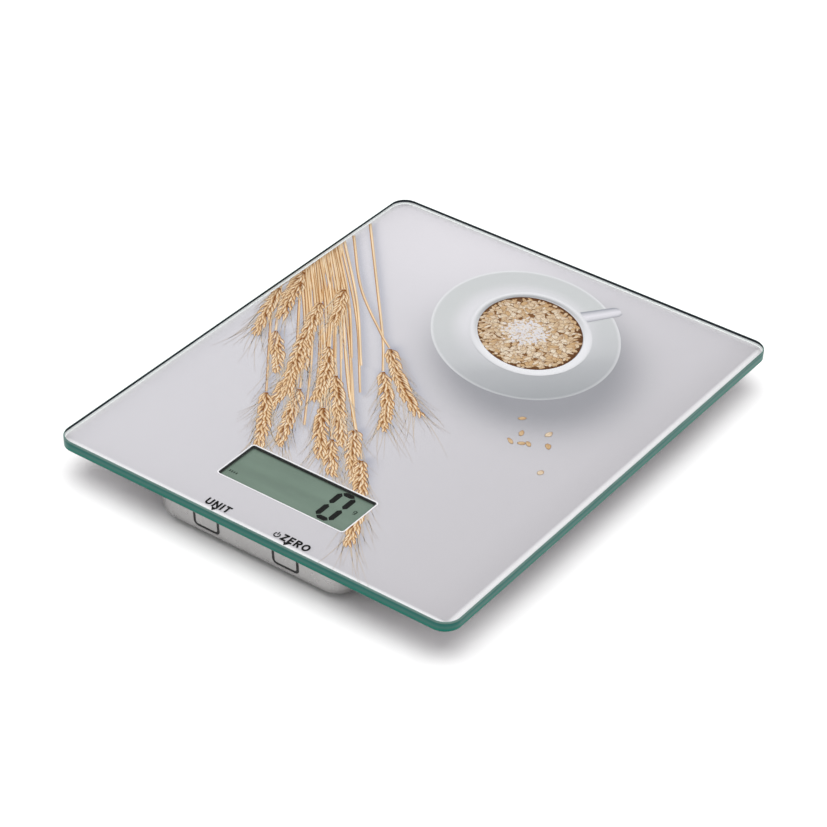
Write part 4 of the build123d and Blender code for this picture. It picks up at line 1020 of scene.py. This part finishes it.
def powder():
    """Meal dusted over the middle of the oats."""
    sheet = Ink(MEAL_COAT)
    for _ in range(MEAL_COUNT):
        angle = RANDOM.uniform(0, 2 * math.pi)
        radius = 0.72 * math.sqrt(RANDOM.random()) * RANDOM.uniform(0.6, 1.1)
        reach = radius * MEAL_REACH
        x = OATS_CENTRE[0] - 1 + reach * math.cos(angle)
        y = OATS_CENTRE[1] + reach * math.sin(angle)
        size = RANDOM.uniform(0.25, 0.8)
        spin = RANDOM.uniform(0, math.pi)
        turns = spin + np.linspace(0, 2 * math.pi, 7)[:-1]
        points = [(x + size * math.cos(turn) * RANDOM.uniform(0.6, 1.1), y + 0.7 * size * math.sin(turn))
                  for turn in turns]
        height = ink_height(RANDOM.uniform(*MEAL_LAYERS))
        sheet.polygon(points, height, tint(ink(POWDER), OAT_LIGHT, RANDOM.uniform(0, 0.5)))
    return sheet.build_motif("print_meal")


# ---- Print: ground with its soft shadows ----------------------------------------------
def segment_distance(x, y, a, b):
    """Distance from each point to a segment."""
    a, b = np.array(a), np.array(b)
    line = b - a
    t = np.clip(((x - a[0]) * line[0] + (y - a[1]) * line[1]) / (line @ line), 0, 1)
    return np.hypot(x - a[0] - t * line[0], y - a[1] - t * line[1])


def china_radius(x, y, centre, size):
    """Distance from an ellipse's centre as a share of its own radius there."""
    c, s = math.cos(CHINA_TILT), math.sin(CHINA_TILT)
    dx, dy = x - centre[0], y - centre[1]
    return np.hypot((c * dx + s * dy) / size[0], (-s * dx + c * dy) / size[1])


def soft_shade(distance, strength, width, steepness):
    """A shadow's strength at a distance from its middle."""
    return strength * np.exp(-((distance / width) ** steepness))


def wheat_shade(x, y):
    """Strength at each point of the shadows of the ears and stalks."""
    shade = np.zeros_like(x)
    for foot, tip, _ in HEADS:
        near = segment_distance(x - HEAD_SHADE_SHIFT[0], y - HEAD_SHADE_SHIFT[1], foot, tip)
        shade = np.maximum(shade, soft_shade(near, *HEAD_SHADE_SHAPE))
    for path, _ in STALKS:
        for a, b in zip(path[:-1:STALK_SHADE_STRIDE], path[STALK_SHADE_STRIDE::STALK_SHADE_STRIDE]):
            near = segment_distance(x - STALK_SHADE_SHIFT[0], y - STALK_SHADE_SHIFT[1], a, b)
            shade = np.maximum(shade, soft_shade(near, *STALK_SHADE_SHAPE))
    return shade


def rim_share(x, y):
    """How much of the light rim's colour each point has: partly the print's own light edge, partly painted
    light from the glass's edge.
    """
    width, depth = PRINT_HIGH.x - PRINT_LOW.x, PRINT_HIGH.y - PRINT_LOW.y
    near_side = NEAR_NARROWING * (np.minimum(width / 2 - x, depth / 2 + y) - NEAR_SHIFT)
    inset = np.minimum(near_side, np.minimum(width / 2 + x, depth / 2 - y))
    return np.clip(RIM_FULL - inset / RIM_LIGHT, 0, 1) ** RIM_FADE


def ground_inks(x, y):
    """Colour of the plain ground at each point: a slow gradient, soft shadows and a light rim that is partly
    painted light from the glass's edge.
    """
    ahead = x - GROUND_LEAN * y - GROUND_START
    colours = blend_inks(ink(GROUND_MID), ink(GROUND_DARK), ahead / GROUND_LENGTH)
    glow_x, glow_y = (x - GLOW_CENTRE[0]) / GLOW_SIZE[0], (y - GLOW_CENTRE[1]) / GLOW_SIZE[1]
    colours = tint(colours, GROUND_LIGHT, np.exp(-(glow_x**2 + glow_y**2)))
    colours = tint(colours, GROUND_EDGE, np.clip((x - RIGHT_FROM) / RIGHT_WIDTH, 0, 1) * RIGHT_STRENGTH)
    at_x = x - MOTIF_X
    middle = (SAUCER_CENTRE[0] + CHINA_SHADE_SHIFT, SAUCER_CENTRE[1] - CHINA_SHADE_SHIFT)
    beyond = np.clip(china_radius(at_x, y, middle, SAUCER_SIZE) - CHINA_SHADE_CORE, 0, None)
    colours = tint(colours, SAUCER_SHADOW, soft_shade(beyond, *CHINA_SHADE_SHAPE))
    colours = tint(colours, GROUND_SHADOW, wheat_shade(at_x, y))
    # painted light from the glass's edge, with the print's own light edge, along the rim
    return tint(colours, RIM_PRINT_AND_EDGE_LIGHT, rim_share(x, y))


def spaced(low, high, step):
    count = max(2, int(round((high - low) / step)) + 1)
    return np.linspace(low, high, count)


def ground_lines(edge, hole_low, hole_high):
    """Grid lines across the print that meet the window's edges, closer together near the rim."""
    rim = [edge - RIM_LIGHT * share for share in RIM_STEPS]
    stops = (-rim[0], hole_low, hole_high, rim[0])
    inner = [spaced(low, high, GRID_STEP)[1:] for low, high in zip(stops, stops[1:])]
    return np.concatenate([[-r for r in reversed(rim)], *inner, rim[1:]])


def print_ground():
    """Printed ground as a fine grid with the window left out and its corners rounded."""
    half_width = (PRINT_HIGH.x - PRINT_LOW.x) / 2
    half_depth = (PRINT_HIGH.y - PRINT_LOW.y) / 2
    hole_x = WINDOW_WIDTH / 2
    hole_y = (WINDOW_Y - WINDOW_DEPTH / 2, WINDOW_Y + WINDOW_DEPTH / 2)
    columns = ground_lines(half_width, WINDOW_X - hole_x, WINDOW_X + hole_x)
    rows = ground_lines(half_depth, *hole_y)
    turns = np.linspace(0, math.pi / 2, CORNER_LINES + 1)[1:-1]
    extra = [half_depth - PRINT_CORNER_RADIUS * (1 - math.cos(a)) for a in turns]
    rows = np.unique(np.round(np.concatenate([rows, extra, [-r for r in extra]]), 5))
    past = np.clip(np.abs(rows) - (half_depth - PRINT_CORNER_RADIUS), 0, PRINT_CORNER_RADIUS)
    inset = PRINT_CORNER_RADIUS - np.sqrt(PRINT_CORNER_RADIUS**2 - past**2)
    x = np.outer(1 - inset / half_width, columns)
    y = np.repeat(rows[:, None], len(columns), axis=1)
    face = ink_height(GROUND_LAYER)
    sheet = Ink(face - INK_BACK, backing=ink(GROUND_BACK))
    sheet.patch(x, y, face, ground_inks(x, y))
    left, right = WINDOW_X - hole_x - GRID_SLACK, WINDOW_X + hole_x + GRID_SLACK
    in_x = (columns[:-1] > left) & (columns[1:] < right)
    in_y = (rows[:-1] > hole_y[0] - GRID_SLACK) & (rows[1:] < hole_y[1] + GRID_SLACK)
    keep = ~np.outer(in_y, in_x).ravel()
    sheet.faces = [face for face, kept in zip(sheet.faces, keep) if kept]
    obj = sheet.build("print_ground", PRINTED)
    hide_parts("printed_decor")
    return obj


def window_line():
    """White line round the window, with the window's rounded corners."""
    sheet = Ink(INK_SHARE * 0.75)
    inner = rounded_outline(WINDOW_WIDTH, WINDOW_DEPTH, WINDOW_RADIUS, 8)
    outer = rounded_outline(WINDOW_WIDTH + 2 * WINDOW_LINE, WINDOW_DEPTH + 2 * WINDOW_LINE,
                            WINDOW_RADIUS + WINDOW_LINE, 8)
    rings = np.stack([inner, outer])
    sheet.patch(rings[..., 0] + WINDOW_X, rings[..., 1] + WINDOW_Y, ink_height(WINDOW_LINE_LAYER),
                ink(WINDOW_WHITE), wrap=True)
    return sheet.build("print_window_line", PRINTED)


# ---- Lettering ------------------------------------------------------------------------
def stroke(sheet, points, weight, height, colour, closed=False):
    """A line of even weight with mitred corners."""
    points = np.array(points, float)
    ahead = np.roll(points, -1, axis=0) - points
    behind = points - np.roll(points, 1, axis=0)
    if not closed:
        ahead[-1], behind[0] = behind[-1], ahead[0]
    ahead /= np.linalg.norm(ahead, axis=1)[:, None]
    behind /= np.linalg.norm(behind, axis=1)[:, None]
    normal_a = np.stack([-ahead[:, 1], ahead[:, 0]], axis=1)
    normal_b = np.stack([-behind[:, 1], behind[:, 0]], axis=1)
    mitre = normal_a + normal_b
    mitre /= np.linalg.norm(mitre, axis=1)[:, None]
    reach = weight / 2 / np.clip((mitre * normal_a).sum(axis=1), 0.35, None)
    sides = [points + mitre * reach[:, None], points - mitre * reach[:, None]]
    rings = np.stack(sides)
    sheet.patch(rings[..., 0], rings[..., 1], height, colour, wrap=closed)


def arc(centre, size, start, end, count):
    angles = np.radians(np.linspace(start, end, count))
    return [(centre[0] + size[0] * math.cos(a), centre[1] + size[1] * math.sin(a)) for a in angles]


def letter_strokes(letter):
    """A capital in a cell one unit high: its width and its strokes."""
    w = LETTER_WEIGHT / LETTER_HEIGHT / 2
    top, low = 1 - w, w
    stem = [(w, 0), (w, 1)]
    bowl = arc((0.37, 0.34), (0.37 - w, 0.34 - w), 180, 360, 9)
    loop = arc((0.34, 0.70), (0.26, 0.30 - w), 90, -90, 9)
    shapes = {
        "U": (0.74, [[(w, 1), *bowl, (0.74 - w, 1)]]),
        "N": (0.76, [stem, [(0.76 - w, 0), (0.76 - w, 1)], [(w, 1 - w), (0.76 - w, w)]]),
        "I": (2 * w, [stem]),
        "T": (0.66, [[(0, top), (0.66, top)], [(0.33, 0), (0.33, top)]]),
        "Z": (0.66, [[(0.02, top), (0.64, top)], [(0, low), (0.66, low)], [(0.54, top), (0.12, low)]]),
        "E": (0.58, [stem, *[[(w, level), (0.56, level)] for level in (low, 0.5, top)]]),
        "R": (0.68, [stem, [(w, top), *loop, (w, 0.40 + w)], [(0.34, 0.42), (0.60, 0)]]),
        "O": (0.86, [arc((0.43, 0.5), (0.43 - w, 0.5 - w), 0, 345, 24)]),
    }
    return shapes[letter]


def word(sheet, text, left, level):
    """Letters side by side, from the left."""
    for letter in text:
        width, strokes = letter_strokes(letter)
        for points in strokes:
            placed = [(left + x * LETTER_HEIGHT, WORD_FOOT + y * LETTER_HEIGHT) for x, y in points]
            stroke(sheet, placed, LETTER_WEIGHT, level, ink(INK_BLACK), closed=letter == "O")
        left += width * LETTER_HEIGHT + LETTER_GAP


def lettering():
    """Function marks beside the two buttons: a word and an arrow each, and a power sign."""
    sheet = Ink(COAT)
    level, black = ink_height(WORD_LAYER), ink(INK_BLACK)
    word(sheet, "UNIT", UNIT_LEFT, level)
    word(sheet, "ZERO", ZERO_LEFT, level)
    x, y = ZERO_LEFT + POWER_SHIFT[0], WORD_FOOT + POWER_SHIFT[1]
    stroke(sheet, arc((x, y), (POWER_RADIUS, POWER_RADIUS), 125, 415, 20), POWER_WEIGHT, level, black)
    stroke(sheet, [(x, y + rise) for rise in POWER_BAR], POWER_WEIGHT, level, black)
    half, arrow_top = ARROW_SIZE[0] / 2, ARROW_FOOT + ARROW_SIZE[1]
    for x in ARROWS:
        sheet.polygon([(x, ARROW_FOOT), (x + half, arrow_top), (x - half, arrow_top)], level, black)
    return sheet.build_motif("print_button_marks")


# ---- Display --------------------------------------------------------------------------
def segment(sheet, start, end, height):
    """One bar of the digit, with pointed ends."""
    start, end = np.array(start), np.array(end)
    line = (end - start) / np.linalg.norm(end - start)
    side = np.array([-line[1], line[0]]) * SEGMENT_WIDTH / 2
    a, b = start + line * SEGMENT_GAP, end - line * SEGMENT_GAP
    half = line * SEGMENT_WIDTH / 2
    corners = [a, a + half - side, b - half - side, b, b - half + side, a + half + side]
    sheet.polygon([tuple(c) for c in corners], height, ink(INK_BLACK))


def digit(sheet, level):
    """The digit nought."""
    half_x = DIGIT_SIZE[0] / 2 - SEGMENT_WIDTH / 2
    half_y = DIGIT_SIZE[1] / 2 - SEGMENT_WIDTH / 2
    x, y = DIGIT_CENTRE
    corners = {(i, j): (x + i * half_x, y + j * half_y) for i in (-1, 1) for j in (-1, 0, 1)}
    for i in (-1, 1):
        segment(sheet, corners[i, -1], corners[i, 0], level)
        segment(sheet, corners[i, 0], corners[i, 1], level)
    for j in (-1, 1):
        segment(sheet, corners[-1, j], corners[1, j], level)


def small_marks(sheet, level):
    """A unit mark right of the digit, and a row of marks at the display's left."""
    black = ink(INK_BLACK)
    x, y = DIGIT_CENTRE[0] + UNIT_MARK_SHIFT[0], DIGIT_CENTRE[1] + UNIT_MARK_SHIFT[1]
    stroke(sheet, arc((x, y), (0.5, 0.6), 0, 340, 14), UNIT_MARK_WEIGHT, level, black, closed=True)
    tail = [(x + 0.55, y + 0.7), (x + 0.55, y - 1.1), (x - 0.3, y - 1.35)]
    stroke(sheet, tail, UNIT_MARK_WEIGHT, level, black)
    for index in range(SMALL_MARK_COUNT):
        left = WINDOW_X - SMALL_MARK_LEFT + index * SMALL_MARK_PITCH
        bar = [(left, DIGIT_CENTRE[1] + rise) for rise in SMALL_MARK_Y]
        stroke(sheet, bar, 0.5, level, tint(black, SMALL_MARKS, 0.3))


def display_border(sheet):
    """Shade that the window's edge throws on the display, darkest under the print."""
    insets = (-DISPLAY_SHADE_OUT, 0.25, 0.5 * DISPLAY_SHADE, DISPLAY_SHADE)
    rings = np.stack([rounded_outline(WINDOW_WIDTH - 2 * inset, WINDOW_DEPTH - 2 * inset, WINDOW_RADIUS, 4)
                      for inset in insets])
    tones = np.stack([tint(ink(INK_BLACK), DISPLAY, share) for share in (0, 0.3, 0.85, 1)])
    sheet.patch(rings[..., 0] + WINDOW_X, rings[..., 1] + WINDOW_Y, LCD_HIGH.z + DISPLAY_LIFT / 2,
                tones[:, None, :], wrap=True)


def display_marks():
    """What the display shows, on its face, and the painted shade that the window's edge throws round it."""
    sheet = Ink(COAT)
    level = LCD_HIGH.z + DISPLAY_LIFT
    digit(sheet, level)
    small_marks(sheet, level)
    display_border(sheet)
    obj = sheet.build("display_marks", printed_ink("display_ink", 0.4))
    return obj


# ---- Materials of the CAD nodes -------------------------------------------------------
def slot_materials():
    """One material for each slot of the record."""
    return {
        "bond_tape": moulded("bond_tape", (222, 222, 218), 0.7, grain=0.6, grain_depth=0.03),
        "silver_plastic": silver_lacquer(),
        "label_film": label_film(),
        "black_foam": moulded("black_foam", (24, 24, 25), 0.9, grain=0.4, grain_depth=0.05, mottle=0.1),
        "black_plastic": moulded("black_plastic", (22, 22, 23), 0.45),
        "display_glass": clear_display_glass(),
        "display_reflector": moulded("display_reflector", (150, 160, 150), 0.5),
        "connector_rubber": rubber("connector_rubber", (60, 60, 64)),
        "board_laminate": board_laminate(),
        "black_resin": moulded("black_resin", (16, 16, 17), 0.2, grain=1.5, grain_depth=0.02, coat=0.5),
        "capacitor_ceramic": moulded("capacitor_ceramic", (160, 126, 88), 0.4),
        "white_nylon": moulded("white_nylon", (232, 230, 222), 0.42),
        "plated_steel": brushed("plated_steel", (196, 197, 200), 0.35),
        "black_rubber": rubber("black_rubber", (22, 22, 23)),
        "cell_steel": brushed("cell_steel", (214, 214, 212), 0.22, stretch=(30, 1, 30)),
        "contact_steel": brushed("contact_steel", (205, 200, 186), 0.28),
        "black_wire": rubber("black_wire", (26, 26, 27)),
        "red_wire": rubber("red_wire", (170, 28, 24)),
        "seat_plastic": moulded("seat_plastic", (226, 226, 224), 0.5),
        "sealant": moulded("sealant", (236, 236, 232), 0.55, grain=1.2, grain_depth=0.05),
        "foot_plastic": moulded("foot_plastic", (188, 189, 190), 0.48),
        "foot_rubber": rubber("foot_rubber", (38, 38, 40)),
        "cable_jacket": moulded("cable_jacket", (214, 214, 212), 0.5, grain=0.8, grain_depth=0.02),
    }


def dress_nodes():
    """Gives every CAD node the material of its slot."""
    materials = slot_materials()
    special = {"lcd_front_glass": display_face()}
    for row in frame["record"]["subparts"]:
        node = frame["nodes"][row["node"]]
        material = special.get(row["node"]) or materials.get(row["material_slot"])
        if material is None:
            continue
        node.data.materials.clear()
        node.data.materials.append(material)


# ---- Stage ----------------------------------------------------------------------------
def camera():
    data = bpy.data.cameras.new("camera")
    data.lens = CAMERA_LENS
    data.sensor_width = SENSOR_WIDTH
    data.clip_start, data.clip_end = 0.01, 20
    obj = bpy.data.objects.new("camera", data)
    SCENE.collection.objects.link(obj)
    obj.location = CAMERA_PLACE
    obj.rotation_mode = "QUATERNION"
    aim = (CAMERA_AIM - CAMERA_PLACE).to_track_quat("-Z", "Y")
    obj.rotation_quaternion = aim @ Quaternion((0, 0, 1), CAMERA_ROLL)
    SCENE.camera = obj


def area_light(name, place, size, power, aim=(0, 0, 0)):
    data = bpy.data.lights.new(name, "AREA")
    data.shape = "DISK"
    data.size = size
    data.energy = power
    obj = bpy.data.objects.new(name, data)
    SCENE.collection.objects.link(obj)
    obj.location = place
    obj.rotation_mode = "QUATERNION"
    obj.rotation_quaternion = (Vector(aim) - Vector(place)).to_track_quat("-Z", "Y")


def floor():
    s = Shader("floor_paint")
    tone = s.mix(s.ramp(s.noise(60), 0.3, 0.7), (0.90, 0.90, 0.90, 1), (0.92, 0.92, 0.92, 1))
    shader = s.node("ShaderNodeBsdfPrincipled", Base_Color=tone, Roughness=0.9)
    material = s.finish(shader.outputs[0])
    half = 3.0
    mesh = bpy.data.meshes.new("floor")
    corners = [(-half, -half, 0), (half, -half, 0), (half, half, 0), (-half, half, 0)]
    mesh.from_pydata(corners, [], [(0, 1, 2, 3)])
    mesh.materials.append(material)
    obj = bpy.data.objects.new("floor", mesh)
    SCENE.collection.objects.link(obj)


def world(strength, mirrored):
    """Even surroundings: white to the camera, dimmer as light, and dimmer still mirrored in gloss."""
    made = bpy.data.worlds.new("studio")
    made.use_nodes = True
    tree = made.node_tree
    background = tree.nodes["Background"]
    background.inputs["Color"].default_value = (1, 1, 1, 1)
    path = tree.nodes.new("ShaderNodeLightPath")
    share = tree.nodes.new("ShaderNodeMapRange")
    share.inputs["To Min"].default_value = strength
    share.inputs["To Max"].default_value = mirrored
    tree.links.new(path.outputs["Is Glossy Ray"], share.inputs["Value"])
    seen = tree.nodes.new("ShaderNodeMath")
    seen.operation = "MULTIPLY_ADD"
    seen.inputs[1].default_value = 1 - strength
    tree.links.new(path.outputs["Is Camera Ray"], seen.inputs[0])
    tree.links.new(share.outputs["Result"], seen.inputs[2])
    tree.links.new(seen.outputs[0], background.inputs["Strength"])
    SCENE.world = made


def studio():
    world(0.55, 0.14)
    area_light("softbox", (0, 0, 1.6), 2.4, 36)
    SCENE.view_settings.view_transform = "Standard"


# ---- Build ----------------------------------------------------------------------------
PRINTED = printed_ink("print_ink")
STALKS = all_stalks()
camera()
studio()
floor()
dress_nodes()
glass_platform()
print_ground()
window_line()
saucer()
cup()
handle()
oats()
powder()
wheat_stalks()
wheat_heads()
lettering()
display_marks()
